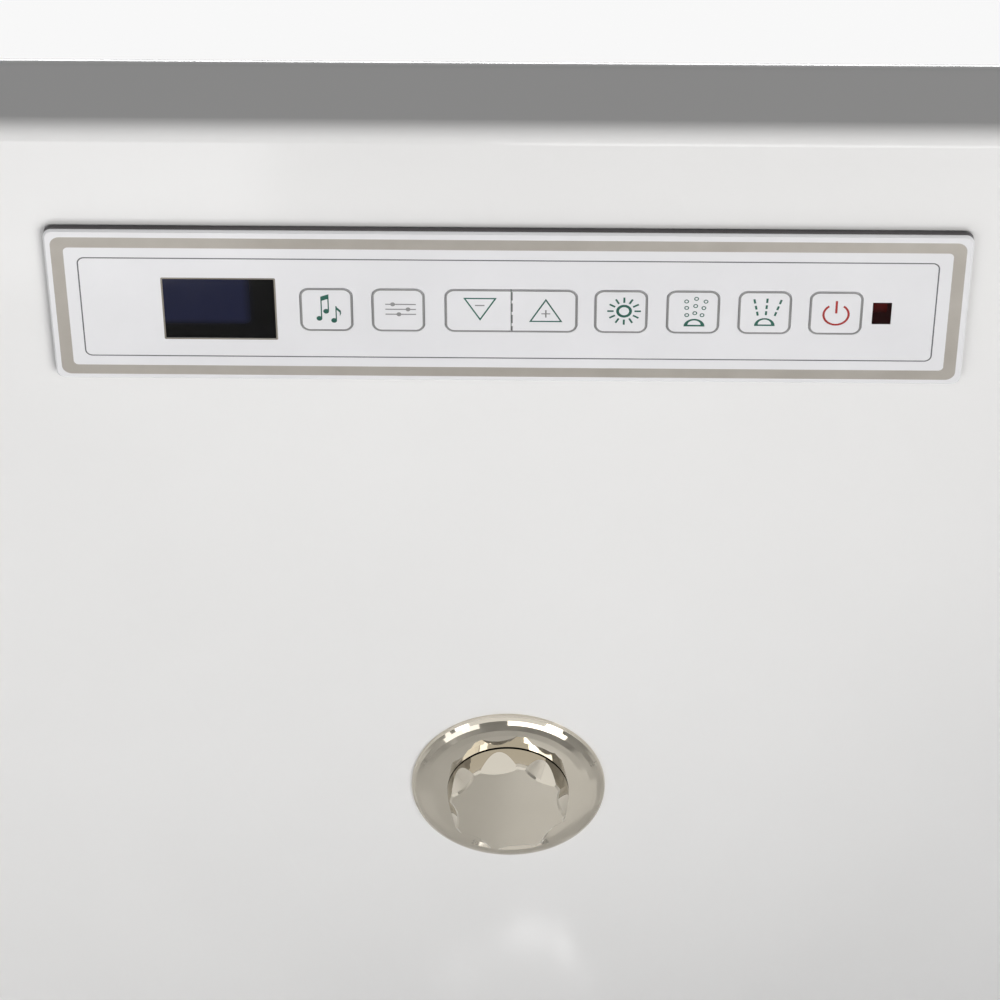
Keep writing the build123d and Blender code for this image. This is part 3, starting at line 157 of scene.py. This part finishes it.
def galvanised(name):
    """Hot-dip zinc on steel: flat spangles of slightly different grey."""
    material, shader = new_material(name, Metallic=0.9)
    place = add_node(material, "ShaderNodeTexCoord")
    spangle = add_node(material, "ShaderNodeTexVoronoi", {"Scale": 110.0, "Randomness": 1.0})
    tone = add_node(material, "ShaderNodeSeparateColor")
    join(material, place.outputs["Object"], spangle.inputs["Vector"])
    join(material, spangle.outputs["Color"], tone.inputs["Color"])
    vary_colour(material, shader, tone.outputs["Red"], (0.46, 0.47, 0.48), (0.62, 0.63, 0.65), 0.0, 1.0)
    vary_roughness(material, shader, tone.outputs["Green"], 0.32, 0.55)
    bump(material, shader, object_noise(material, 200, 4), 0.04 * mm)
    return material


def pressed_board(name):
    """Chips of pressed board under a thin resin."""
    material, shader = new_material(name, Coat_Weight=0.15, Coat_Roughness=0.3)
    chips = object_noise(material, 260, 8, (1, 3, 1))
    vary_colour(material, shader, chips, (0.30, 0.20, 0.11), (0.58, 0.44, 0.28), 0.35, 0.65)
    vary_roughness(material, shader, chips, 0.5, 0.75)
    bump(material, shader, chips, 0.3 * mm)
    return material


def tinted_glass(name, dark, light, dark_low, dark_side):
    """Dark window, black towards its foot and one end over the given shares of its size."""
    fade_start = 0.6
    material, shader = new_material(name, Specular_IOR_Level=0.22)
    place = add_node(material, "ShaderNodeTexCoord")
    axes = add_node(material, "ShaderNodeSeparateXYZ")
    join(material, place.outputs["Generated"], axes.inputs["Vector"])
    lit = add_node(material, "ShaderNodeMath", operation="MULTIPLY")
    for socket, axis, share in ((0, "Z", dark_low), (1, "X", dark_side)):
        fade = add_node(material, "ShaderNodeMapRange", {"From Min": share * fade_start, "From Max": share},
                        interpolation_type="SMOOTHSTEP")
        join(material, axes.outputs[axis], fade.inputs["Value"])
        join(material, fade.outputs["Result"], lit.inputs[socket])
    vary_colour(material, shader, lit.outputs[0], dark, light, 0.0, 1.0)
    vary_roughness(material, shader, object_noise(material, 300, 4), 0.03, 0.08)
    bump(material, shader, object_noise(material, 120, 2), 0.01 * mm)
    return material


def clear_lens(name):
    """Clear ribbed lens."""
    material, shader = new_material(name, Transmission_Weight=1.0, IOR=1.49)
    vary_colour(material, shader, object_noise(material, 30, 3), (0.86, 0.92, 0.98), (0.94, 0.97, 1.0))
    vary_roughness(material, shader, object_noise(material, 200, 4), 0.02, 0.08)
    bump(material, shader, object_noise(material, 400, 2), 0.05 * mm)
    return material


def pillow_skin(name):
    """Soft white skin with fine pores and creases."""
    material, shader = new_material(name, Sheen_Weight=0.15, Sheen_Roughness=0.5)
    pores = object_noise(material, 1400, 3)
    vary_colour(material, shader, object_noise(material, 40, 6), (0.70, 0.69, 0.68), (0.80, 0.79, 0.78))
    vary_roughness(material, shader, pores, 0.42, 0.6)
    bump(material, shader, pores, 0.12 * mm)
    return material


slot_materials = {
    "acrylic": acrylic("white_acrylic"),
    "apron_acrylic": acrylic("apron_acrylic"),
    "board": pressed_board("pressed_board"),
    "frame_steel": galvanised("galvanised_steel"),
    "zinc": metal("zinc_plate", (0.50, 0.50, 0.47), (0.66, 0.65, 0.60), (0.25, 0.4), 90, 0.02 * mm),
    "pad_rubber": moulded("black_rubber", (0.018, 0.018, 0.018), (0.04, 0.04, 0.04), (0.6, 0.8)),
    "face_plate": moulded("white_film", (0.80, 0.80, 0.82), (0.84, 0.84, 0.86), (0.14, 0.22),
                          1500, 0.004 * mm, Coat_Weight=0.4, Coat_Roughness=0.1),
    "dark_plastic": moulded("dark_housing", (0.05, 0.045, 0.05), (0.09, 0.08, 0.085), (0.25, 0.45)),
    "circuit_board": moulded("board_lacquer", (0.02, 0.10, 0.04), (0.04, 0.18, 0.08), (0.25, 0.4)),
    "display_glass": tinted_glass("display_tint", (0.002, 0.002, 0.002), (0.010, 0.012, 0.036),
                                  dark_low=0.34, dark_side=0.3),
    "infrared_glass": tinted_glass("infrared_tint", (0.012, 0.0015, 0.0015), (0.045, 0.003, 0.002),
                                   dark_low=0.8, dark_side=0.3),
    "chrome": metal("polished_chrome", (0.80, 0.79, 0.78), (0.86, 0.86, 0.86), (0.03, 0.07), 25, 0.002 * mm),
    "waste_plastic": moulded("waste_fitting", (0.68, 0.68, 0.66), (0.76, 0.76, 0.74), (0.35, 0.5)),
    "cable_jacket": moulded("cable_sheath", (0.05, 0.05, 0.05), (0.08, 0.08, 0.08), (0.4, 0.55)),
    "pipe_plastic": moulded("pipe_wall", (0.72, 0.72, 0.70), (0.79, 0.79, 0.77), (0.3, 0.45)),
    "pump_plastic": moulded("pump_casing", (0.035, 0.035, 0.04), (0.06, 0.06, 0.065), (0.4, 0.6),
                            500, 0.08 * mm),
    "motor_metal": metal("motor_casting", (0.34, 0.35, 0.36), (0.50, 0.51, 0.52), (0.4, 0.6),
                         500, 0.12 * mm),
    "lens": clear_lens("clear_lens"),
    "speaker_grille": metal("grille_coat", (0.60, 0.60, 0.61), (0.70, 0.70, 0.71), (0.3, 0.45),
                            300, 0.03 * mm, metallic=0.6),
    "pillow": pillow_skin("pillow_skin"),
}
for subpart in frame["record"]["subparts"]:
    shape = nodes[subpart["node"]].data
    shape.materials.clear()
    shape.materials.append(slot_materials[subpart["material_slot"]])
# Overflow flange and knob: chrome tinted warm, a painted reflection of warm surroundings mirrored in the
# plating, not a colour of the chrome itself
chrome_painted_warm_reflection = metal("chrome_painted_warm_reflection", (0.62, 0.575, 0.49), (0.66, 0.615, 0.53), (0.03, 0.06),
                    25, 0.002 * mm)
for node in ("overflow_flange", "overflow_knob"):
    nodes[node].data.materials[0] = chrome_painted_warm_reflection

# Control panel: its own plane, x right as read and y up the wall, from the face plate's middle
plate_low, plate_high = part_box("panel_faceplate")
press_axis = Vector(joints["press_music"]["axis"])
plate_out = -press_axis.normalized()
plate_right = Vector((-1, 0, 0))
plate_up = plate_out.cross(plate_right)
plate_thick = 1.0 * mm
plate_height = 60.0 * mm
plate_place = Matrix((plate_right, plate_up, plate_out)).transposed().to_4x4()
plate_place.translation = (plate_low + plate_high) / 2 + plate_out * plate_thick / 2
key_proud = 0.1 * mm
ink = 0.03 * mm
ink_step = 0.002 * mm
weld_gap = 0.0002 * mm
arc_steps = 8
dome_steps = 16


def rounded(x0, x1, y0, y1, radius):
    """Outline of a rounded rectangle, y measured down from the plate's top edge, in mm."""
    points = []
    corners = ((x1, y0, 0), (x0, y0, 1), (x0, y1, 2), (x1, y1, 3))
    for x, y, quarter in corners:
        centre_x = x - radius if x == x1 else x + radius
        centre_y = y + radius if y == y0 else y - radius
        for step in range(arc_steps + 1):
            angle = math.radians(90 * quarter + 90 * step / arc_steps)
            points.append((centre_x + radius * math.cos(angle), centre_y - radius * math.sin(angle)))
    return points


def circle(x, y, radius, steps=24):
    """Outline of a circle."""
    turn = [2 * math.pi * step / steps for step in range(steps)]
    return [(x + radius * math.cos(angle), y + radius * math.sin(angle)) for angle in turn]


def stroke(x0, y0, x1, y1, width):
    """Outline of a straight line of the given width."""
    along = Vector((x1 - x0, y1 - y0)).normalized() * width / 2
    across = Vector((-along.y, along.x))
    return [(x0 + across.x, y0 + across.y), (x1 + across.x, y1 + across.y),
            (x1 - across.x, y1 - across.y), (x0 - across.x, y0 - across.y)]


def arc_band(x, y, radius, width, start, end, steps=24):
    """Outline of a bent line from one angle to another, in degrees clockwise from right."""
    angles = [math.radians(start + (end - start) * step / steps) for step in range(steps + 1)]
    wide, narrow = radius + width / 2, radius - width / 2
    outer = [(x + wide * math.cos(angle), y + wide * math.sin(angle)) for angle in angles]
    inner = [(x + narrow * math.cos(angle), y + narrow * math.sin(angle)) for angle in angles]
    return outer + inner[::-1]


def triangle_frame(points, width):
    """Outer and inner outline of a triangle line."""
    middle = sum((Vector(p) for p in points), Vector((0, 0))) / 3
    a, b, c = (Vector(p) for p in points)
    inradius = abs((b - a).cross(c - a)) / ((b - a).length + (c - b).length + (a - c).length)
    outer = [tuple(middle + (p - middle) * (1 + width / 2 / inradius)) for p in (a, b, c)]
    inner = [tuple(middle + (p - middle) * (1 - width / 2 / inradius)) for p in (a, b, c)]
    return outer, inner


def filled(outlines):
    """Thin flat mesh of one outline and the holes inside it."""
    curve = bpy.data.curves.new("outline", "CURVE")
    curve.dimensions = "2D"
    curve.fill_mode = "BOTH"
    curve.extrude = ink / 2
    for outline in outlines:
        spline = curve.splines.new("POLY")
        spline.points.add(len(outline) - 1)
        for point, (x, y) in zip(spline.points, outline):
            point.co = (x * mm, plate_height / 2 - y * mm, 0, 1)
        spline.use_cyclic_u = True
    drawn = bpy.data.objects.new("outline", curve)
    bpy.context.scene.collection.objects.link(drawn)
    bpy.context.view_layer.update()
    shape = bpy.data.meshes.new_from_object(drawn.evaluated_get(bpy.context.evaluated_depsgraph_get()))
    bpy.data.objects.remove(drawn)
    return shape


def printed(name, shapes, material, body, height=0.0):
    """Ink on the panel: each shape is one outline with its holes, later shapes lie on earlier ones."""
    solid = bmesh.new()
    for level, outlines in enumerate(shapes):
        shape = filled(outlines)
        shape.transform(Matrix.Translation((0, 0, height + ink / 2 + level * ink_step)))
        solid.from_mesh(shape)
    bmesh.ops.remove_doubles(solid, verts=solid.verts, dist=weld_gap)
    bmesh.ops.recalc_face_normals(solid, faces=solid.faces)
    mesh = bpy.data.meshes.new(name)
    solid.to_mesh(mesh)
    solid.free()
    mesh.materials.append(material)
    mesh.transform(plate_place)
    piece = bpy.data.objects.new(name, mesh)
    bpy.context.scene.collection.objects.link(piece)
    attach(piece, body)
    return piece


def ink_material(name, dark, light, rough=(0.3, 0.4), metallic=0.0):
    """Printed ink, slightly uneven."""
    material, shader = new_material(name, Metallic=metallic)
    vary_colour(material, shader, object_noise(material, 60, 4), dark, light)
    vary_roughness(material, shader, object_noise(material, 400, 3), *rough)
    bump(material, shader, object_noise(material, 3000, 2), 0.002 * mm)
    return material


silver_ink = ink_material("silver_ink", (0.40, 0.37, 0.33), (0.46, 0.43, 0.39), (0.3, 0.4), 0.35)
grey_ink = ink_material("grey_ink", (0.22, 0.22, 0.22), (0.28, 0.28, 0.28))
line_ink = ink_material("line_ink", (0.10, 0.10, 0.11), (0.15, 0.15, 0.16))
green_ink = ink_material("green_ink", (0.006, 0.085, 0.06), (0.012, 0.12, 0.085))
red_ink = ink_material("red_ink", (0.30, 0.008, 0.008), (0.42, 0.015, 0.012))
window_ink = ink_material("window_ink", (0.20, 0.18, 0.15), (0.28, 0.25, 0.21))

printed("panel_band", [[rounded(-147.9, 147.9, 2.6, 57.9, 3.2),
                        rounded(-143.8, 143.8, 6.6, 54.1, 1.6)]], silver_ink, "tub")
printed("panel_line", [[rounded(-139.7, 139.7, 10.4, 50.4, 2.4),
                        rounded(-139.25, 139.25, 10.85, 49.95, 2.0)]], line_ink, "tub")
printed("display_frame", [[rounded(-113.0, -75.6, 18.3, 43.3, 0.5),
                           rounded(-112.45, -76.15, 18.85, 42.75, 0.2)]], window_ink, "tub")

# Key frames, and symbols that stand for what each key does
line_width = 0.6
key_top, key_bottom, key_corner = 22.3, 39.3, 3.0
key_half = 8.5
for key, middle in {"music": -59.3, "set": -35.8, "light": 37.0, "bubbles": 60.5, "jets": 83.9,
                    "power": 107.1}.items():
    left, right = middle - key_half, middle + key_half
    printed(key + "_frame", [[rounded(left, right, key_top, key_bottom, key_corner),
                              rounded(left + line_width, right - line_width, key_top + line_width,
                                      key_bottom - line_width, key_corner - line_width)]],
            grey_ink, "key_" + key, key_proud)


def half_frame(inner, outer):
    """Frame of one of the two joined level keys: rounded at its outer end, open where they meet."""
    side = 1 if outer > inner else -1
    turn = [math.radians(90 * step / arc_steps) for step in range(arc_steps + 1)]

    def rounded_end(radius, inset):
        top = [(outer - side * (inset + radius * (1 - math.sin(angle))),
                key_top + inset + radius * (1 - math.cos(angle))) for angle in turn]
        return top + [(x, key_top + key_bottom - y) for x, y in reversed(top)]

    return [[(inner, key_top)] + rounded_end(key_corner, 0)
            + [(inner, key_bottom), (inner, key_bottom - line_width)]
            + rounded_end(key_corner - line_width, line_width)[::-1] + [(inner, key_top + line_width)]]


level_middle, level_gap = 1.1, 0.125
level_width = 21.4
dash_length, dash_width = 3.4, 0.45
dash_tops = (23.1, 27.7, 32.3, 36.9)
dash_x = level_middle + level_gap + dash_width / 2
dash_foot = key_bottom - line_width
printed("down_frame", [half_frame(level_middle - level_gap, level_middle - level_gap - level_width)],
        grey_ink, "key_down", key_proud)
printed("up_frame", [half_frame(level_middle + level_gap, level_middle + level_gap + level_width)],
        grey_ink, "key_up", key_proud)
printed("level_dashes", [[stroke(dash_x, y, dash_x, min(y + dash_length, dash_foot), dash_width)]
                         for y in dash_tops], grey_ink, "key_up", key_proud)

note_r, stem_width = 0.95, 0.4


def note(x, y, top):
    """Head and stem of a note in one outline."""
    meet = math.degrees(math.acos((note_r - stem_width) / note_r))
    head = [math.radians(angle) for angle in range(round(meet), 361, 15)]
    return [[(x + note_r, top), (x + note_r - stem_width, top)]
            + [(x + note_r * math.cos(angle), y - note_r * math.sin(angle)) for angle in head]]


printed("music_symbol", [
    note(-61.7, 34.3, 26.3), note(-59.4, 31.4, 25.4), note(-56.9, 35.1, 29.3),
    [[(-61.15, 25.5), (-58.45, 24.5), (-58.45, 26.3), (-61.15, 27.3)]],
    [[(-56.3, 29.3), (-54.6, 31.1), (-54.5, 32.2), (-55.0, 33.4), (-54.95, 31.9), (-56.3, 30.4)]],
], green_ink, "key_music", key_proud)

# Three sliders stand where the settings key has its word
slider_rows = ((28.4, -37.6), (30.4, -32.6), (32.4, -35.6))
slider_left, slider_right, slider_r, slider_line = -40.0, -30.0, 0.8, 0.45
printed("settings_symbol", [[stroke(slider_left, y, slider_right, y, slider_line)] for y, x in slider_rows]
        + [[circle(x, y, slider_r)] for y, x in slider_rows], grey_ink, "key_set", key_proud)

triangle_line = 0.5
printed("down_symbol", [triangle_frame([(-14.1, 25.8), (-4.0, 25.8), (-9.05, 34.3)], triangle_line)],
        green_ink, "key_down", key_proud)
printed("down_sign", [[stroke(-10.7, 28.6, -7.6, 28.6, 0.5)]], grey_ink, "key_down", key_proud)
printed("up_symbol", [triangle_frame([(7.4, 34.9), (17.5, 34.9), (12.45, 26.2)], triangle_line)],
        green_ink, "key_up", key_proud)
printed("up_sign", [[stroke(11.0, 31.8, 13.9, 31.8, 0.4)], [stroke(12.45, 30.3, 12.45, 33.3, 0.5)]],
        grey_ink, "key_up", key_proud)

sun = Vector((38.0, 30.5))
sun_rays, ray_start, ray_end, ray_width = 12, 3.4, 5.5, 0.65
sun_outer, sun_inner = 2.6, 1.65
printed("light_symbol", [[circle(*sun, sun_outer), circle(*sun, sun_inner)]] + [
    [stroke(sun.x + ray_start * math.cos(angle), sun.y + ray_start * math.sin(angle),
            sun.x + ray_end * math.cos(angle), sun.y + ray_end * math.sin(angle), ray_width)]
    for angle in (2 * math.pi * ray / sun_rays for ray in range(sun_rays))
], green_ink, "key_light", key_proud)


def dome(x, base, width, height, line):
    """Outline of a low dome, the water outlet of a symbol, with its hollow."""
    def arch(half, rise, foot):
        turn = [math.pi * step / dome_steps for step in range(dome_steps + 1)]
        return [(x + half * math.cos(angle), foot - rise * math.sin(angle)) for angle in turn]
    return [arch(width / 2, height, base), arch(width / 2 - 2 * line, height - 2 * line, base - line)]


bubble_rows = ((26.4, (58.3, 64.6)), (25.3, (61.5,)), (29.0, (58.4, 64.0)), (28.2, (61.3,)),
               (31.9, (58.5, 63.5)), (31.1, (61.1,)))
bubble_radii, bubble_sides = (0.8, 0.45), 12
printed("bubbles_symbol", [[circle(x, y, radius, bubble_sides) for radius in bubble_radii]
                           for y, row in bubble_rows for x in row]
        + [dome(61.0, 36.5, 6.9, 3.1, 0.65)], green_ink, "key_bubbles", key_proud)

jet_rays = (((80.3, 25.3), (81.7, 31.9)), ((84.6, 25.0), (84.3, 31.7)), ((89.2, 25.5), (87.2, 32.0)))
ray_dashes = ((0.0, 0.26), (0.40, 0.63), (0.76, 1.0))
printed("jets_symbol", [
    [stroke(*Vector(top).lerp(Vector(foot), begin), *Vector(top).lerp(Vector(foot), stop), 0.7)]
    for top, foot in jet_rays for begin, stop in ray_dashes
] + [dome(84.0, 36.1, 6.8, 3.2, 0.6)], green_ink, "key_jets", key_proud)

power_x, power_y, power_line = 107.2, 31.3, 0.75
printed("power_symbol", [[arc_band(power_x, power_y, 4.1, power_line, -55, 235)],
                         [stroke(power_x, 25.8, power_x, 30.8, power_line)]],
        red_ink, "key_power", key_proud)

# Head pillows: each swells from a slightly smaller copy of its CAD solid, then gets channels and piping
pillow_voxel = 5.0 * mm
pillow_start = 0.86
pillow_cap = 11.0 * mm
pillow_pressure = 4.0
pillow_frames = 20
channel_places = (-0.18, 0.18)
channel_depth, channel_width = 3.0 * mm, 4.0 * mm
piping_r = 2.6 * mm
piping_sunk = 0.4
piping_steps = 72
piping_sides = 10
same_way = 0.996


def half_of(node, side):
    """The part of a CAD node's mesh on one side of X = 0."""
    solid = bmesh.new()
    solid.from_mesh(nodes[node].data)
    solid.transform(nodes[node].matrix_world)
    other_half = [vertex for vertex in solid.verts if vertex.co.x * side < 0]
    bmesh.ops.delete(solid, geom=other_half, context="VERTS")
    mesh = bpy.data.meshes.new(node)
    solid.to_mesh(mesh)
    solid.free()
    return mesh


def rest_direction(mesh):
    """Unit normal of the flat back, the direction that the most area faces."""
    areas = {}
    for face in mesh.polygons:
        facing = tuple(round(value, 2) for value in face.normal)
        areas[facing] = areas.get(facing, 0) + face.area
    return Vector(max(areas, key=areas.get)).normalized()


def applied(piece):
    """The piece's mesh with its modifiers applied to it."""
    bpy.context.view_layer.update()
    mesh = bpy.data.meshes.new_from_object(piece.evaluated_get(bpy.context.evaluated_depsgraph_get()))
    piece.modifiers.clear()
    old = piece.data
    piece.data = mesh
    bpy.data.meshes.remove(old)


def swollen(piece):
    """Cloth under pressure from the piece's shape, each point moved no further than the cap."""
    start = [vertex.co.copy() for vertex in piece.data.vertices]
    cloth = piece.modifiers.new("cloth", "CLOTH")
    cloth.settings.use_pressure = True
    cloth.settings.uniform_pressure_force = pillow_pressure
    cloth.settings.effector_weights.gravity = 0
    cloth.point_cache.frame_start, cloth.point_cache.frame_end = 1, pillow_frames
    for step in range(1, pillow_frames + 1):
        bpy.context.scene.frame_set(step)
    applied(piece)
    bpy.context.scene.frame_set(1)
    for vertex, place in zip(piece.data.vertices, start):
        move = vertex.co - place
        if move.length > pillow_cap:
            vertex.co = place + move.normalized() * pillow_cap


def resting_turn(mesh):
    """Rotation from the pillow's own axes, along, up and out of its rest, to the frame's."""
    inward = rest_direction(mesh)
    along = inward.cross(Vector((0, 0, 1))).normalized()
    up = along.cross(inward)
    return Matrix((along, up, -inward)).transposed()


def sewn(piece, half):
    """Two channels pressed into the front, with every point held inside the CAD solid's box."""
    for vertex in piece.data.vertices:
        point = vertex.co
        front = max(0.0, point.z / half.z)
        for place in channel_places:
            away = (point.y - place * 2 * half.y) / channel_width
            point.z -= channel_depth * front * math.exp(-away * away)
        for axis in range(3):
            point[axis] = max(-half[axis], min(half[axis], point[axis]))


def edge_ring(piece, half):
    """Points round the pillow's widest outline, where its piping runs."""
    ring = []
    for step in range(piping_steps):
        angle = 2 * math.pi * step / piping_steps
        aim = Vector((math.cos(angle) * half.x, math.sin(angle) * half.y)).normalized()
        band = [vertex.co.xy for vertex in piece.data.vertices
                if abs(vertex.co.z) < 2 * pillow_voxel and vertex.co.xy.normalized().dot(aim) > same_way]
        reach = max((point.length for point in band), default=half.y)
        ring.append(aim * (reach - piping_r * piping_sunk))
    return ring


def with_piping(piece, ring):
    """A round cord along the ring, added to the pillow's mesh."""
    solid = bmesh.new()
    solid.from_mesh(piece.data)
    round_turn = [2 * math.pi * side_step / piping_sides for side_step in range(piping_sides)]
    loops = []
    for step, point in enumerate(ring):
        ahead = (ring[(step + 1) % piping_steps] - ring[step - 1]).normalized()
        outward = Vector((ahead.y, -ahead.x, 0))
        loops.append([solid.verts.new(Vector((point.x, point.y, 0))
                                      + outward * piping_r * math.cos(angle)
                                      + Vector((0, 0, piping_r * math.sin(angle))))
                      for angle in round_turn])
    for step in range(piping_steps):
        here, there = loops[step], loops[(step + 1) % piping_steps]
        for side_step in range(piping_sides):
            after = (side_step + 1) % piping_sides
            solid.faces.new((here[side_step], here[after], there[after], there[side_step]))
    bmesh.ops.recalc_face_normals(solid, faces=solid.faces)
    solid.to_mesh(piece.data)
    solid.free()


def head_pillow(name, side):
    """One pillow: swollen form, flat where it rests, two sewn channels and piping round its edge."""
    mesh = half_of("head_pillows", side)
    turn = resting_turn(mesh)
    turn_back = turn.inverted()
    local = [turn_back @ vertex.co for vertex in mesh.vertices]
    low = Vector(min(point[axis] for point in local) for axis in range(3))
    high = Vector(max(point[axis] for point in local) for axis in range(3))
    middle = (low + high) / 2
    half = (high - low) / 2
    for vertex, point in zip(mesh.vertices, local):
        vertex.co = (point - middle) * pillow_start
    piece = bpy.data.objects.new(name, mesh)
    bpy.context.scene.collection.objects.link(piece)
    remesh = piece.modifiers.new("remesh", "REMESH")
    remesh.mode = "VOXEL"
    remesh.voxel_size = pillow_voxel
    applied(piece)
    swollen(piece)
    finer = piece.modifiers.new("finer", "SUBSURF")
    finer.levels = 1
    finer.render_levels = 1
    applied(piece)
    sewn(piece, half)
    with_piping(piece, edge_ring(piece, half))
    place = turn.to_4x4()
    place.translation = turn @ middle
    piece.data.transform(place)
    for face in piece.data.polygons:
        face.use_smooth = True
    piece.data.materials.clear()
    piece.data.materials.append(slot_materials["pillow"])
    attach(piece, "tub")
    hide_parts("head_pillows")


for name, side in {"head_pillow_right": 1, "head_pillow_left": -1}.items():
    head_pillow(name, side)

# Stage, light and camera
floor_size = 12.0
floor_gap = 0.5 * mm
floor_share = 0.9


def seen_share(material, share=1.0):
    """The given share for camera, glossy and transmitted rays, and nothing for light on surfaces."""
    path = add_node(material, "ShaderNodeLightPath")
    seen = add_node(material, "ShaderNodeMath", operation="MAXIMUM")
    also = add_node(material, "ShaderNodeMath", operation="MAXIMUM")
    part = add_node(material, "ShaderNodeMath", {1: share}, operation="MULTIPLY")
    join(material, path.outputs["Is Camera Ray"], seen.inputs[0])
    join(material, path.outputs["Is Glossy Ray"], seen.inputs[1])
    join(material, seen.outputs[0], also.inputs[0])
    join(material, path.outputs["Is Transmission Ray"], also.inputs[1])
    join(material, also.outputs[0], part.inputs[0])
    return part.outputs[0]


def stage_floor():
    """Large pale floor that keeps the shadow of the tub."""
    mesh = bpy.data.meshes.new("floor")
    half = floor_size / 2
    level = cad_box[0].z - floor_gap
    corners = [(-half, -half, level), (half, -half, level), (half, half, level), (-half, half, level)]
    mesh.from_pydata(corners, [], [(0, 1, 2, 3)])
    floor = bpy.data.objects.new("floor", mesh)
    bpy.context.scene.collection.objects.link(floor)
    material, shader = new_material("pale_floor", Roughness=0.6)
    vary_colour(material, shader, object_noise(material, 2, 3), (0.82, 0.82, 0.82), (0.86, 0.86, 0.86))
    glow = add_node(material, "ShaderNodeEmission", {"Color": (1, 1, 1, 1), "Strength": 1.0})
    mix = add_node(material, "ShaderNodeMixShader")
    seen = seen_share(material, floor_share)
    join(material, seen, mix.inputs["Fac"])
    join(material, shader.outputs["BSDF"], mix.inputs[1])
    join(material, glow.outputs["Emission"], mix.inputs[2])
    join(material, mix.outputs["Shader"], material.node_tree.nodes["Material Output"].inputs["Surface"])
    mesh.materials.append(material)


def studio_world(ambient):
    """Weak even light for surfaces, plain white for the camera and for reflections."""
    world = bpy.data.worlds.new("studio")
    bpy.context.scene.world = world
    world.use_nodes = True
    soft = world.node_tree.nodes["Background"]
    soft.inputs["Color"].default_value = (1.0, 1.0, 1.0, 1)
    soft.inputs["Strength"].default_value = ambient
    white = add_node(world, "ShaderNodeBackground", {"Color": (1, 1, 1, 1), "Strength": 1.0})
    mix = add_node(world, "ShaderNodeMixShader")
    seen = seen_share(world)
    join(world, seen, mix.inputs["Fac"])
    join(world, soft.outputs["Background"], mix.inputs[1])
    join(world, white.outputs["Background"], mix.inputs[2])
    join(world, mix.outputs["Shader"], world.node_tree.nodes["World Output"].inputs["Surface"])


def soft_light(name, place, target, size, power, colour=(1, 1, 1)):
    """Rectangular studio light aimed at a point."""
    data = bpy.data.lights.new(name, "AREA")
    data.shape = "RECTANGLE"
    data.size, data.size_y = size
    data.energy = power
    data.color = colour
    lamp = bpy.data.objects.new(name, data)
    lamp.location = place
    lamp.rotation_mode = "QUATERNION"
    lamp.rotation_quaternion = (Vector(target) - Vector(place)).to_track_quat("-Z", "Y")
    lamp.visible_camera = False
    bpy.context.scene.collection.objects.link(lamp)


def photo_camera():
    """The photograph's view: a long lens above the basin, looking down at the control panel."""
    frame_width = 1000
    focal_pixels = 3500
    pitch, yaw, roll = math.radians(44.66), math.radians(1.01), math.radians(-0.26)
    panel_offset = Vector((-0.0123, 0.85705, 0.75927))
    data = bpy.data.cameras.new("view")
    data.sensor_width = 36.0
    data.lens = data.sensor_width * focal_pixels / frame_width
    camera = bpy.data.objects.new("view", data)
    forward = Vector((math.sin(yaw) * math.cos(pitch), -math.cos(yaw) * math.cos(pitch), -math.sin(pitch)))
    right = forward.cross(Vector((0, 0, 1))).normalized()
    up = right.cross(forward)
    tilted_right = right * math.cos(roll) + up * math.sin(roll)
    tilted_up = up * math.cos(roll) - right * math.sin(roll)
    pose = Matrix((tilted_right, tilted_up, -forward)).transposed().to_4x4()
    pose.translation = plate_place.translation + panel_offset
    camera.matrix_world = pose
    bpy.context.scene.collection.objects.link(camera)
    bpy.context.scene.camera = camera


stage_floor()
studio_world(ambient=0.12)
soft_light("right_window", (-1.5, 1.9, 1.3), (0.1, -0.6, 0.7), (1.8, 1.1), 38, (1.0, 0.985, 0.965))
soft_light("left_window", (1.5, 1.9, 1.3), (-0.1, -0.6, 0.7), (1.4, 1.0), 10, (0.97, 0.98, 1.0))
soft_light("basin_fill", (-0.2, -0.04, 0.46), (0.2, -0.62, 0.33), (0.5, 0.25), 1.2)
soft_light("basin_glow", (0.26, -0.22, 0.42), (0.17, -0.6, 0.33), (0.3, 0.2), 0.25)
soft_light("front_fill", (0.0, -3.0, 0.33), (0, -0.6, 0.33), (3.0, 0.5), 30)
soft_light("left_fill", (3.0, -0.8, 0.33), (0.6, -0.3, 0.33), (2.0, 0.5), 14)
soft_light("right_fill", (-3.0, -0.8, 0.33), (-0.6, -0.3, 0.33), (2.0, 0.5), 14)
photo_camera()
bpy.context.scene.view_settings.view_transform = "Standard"
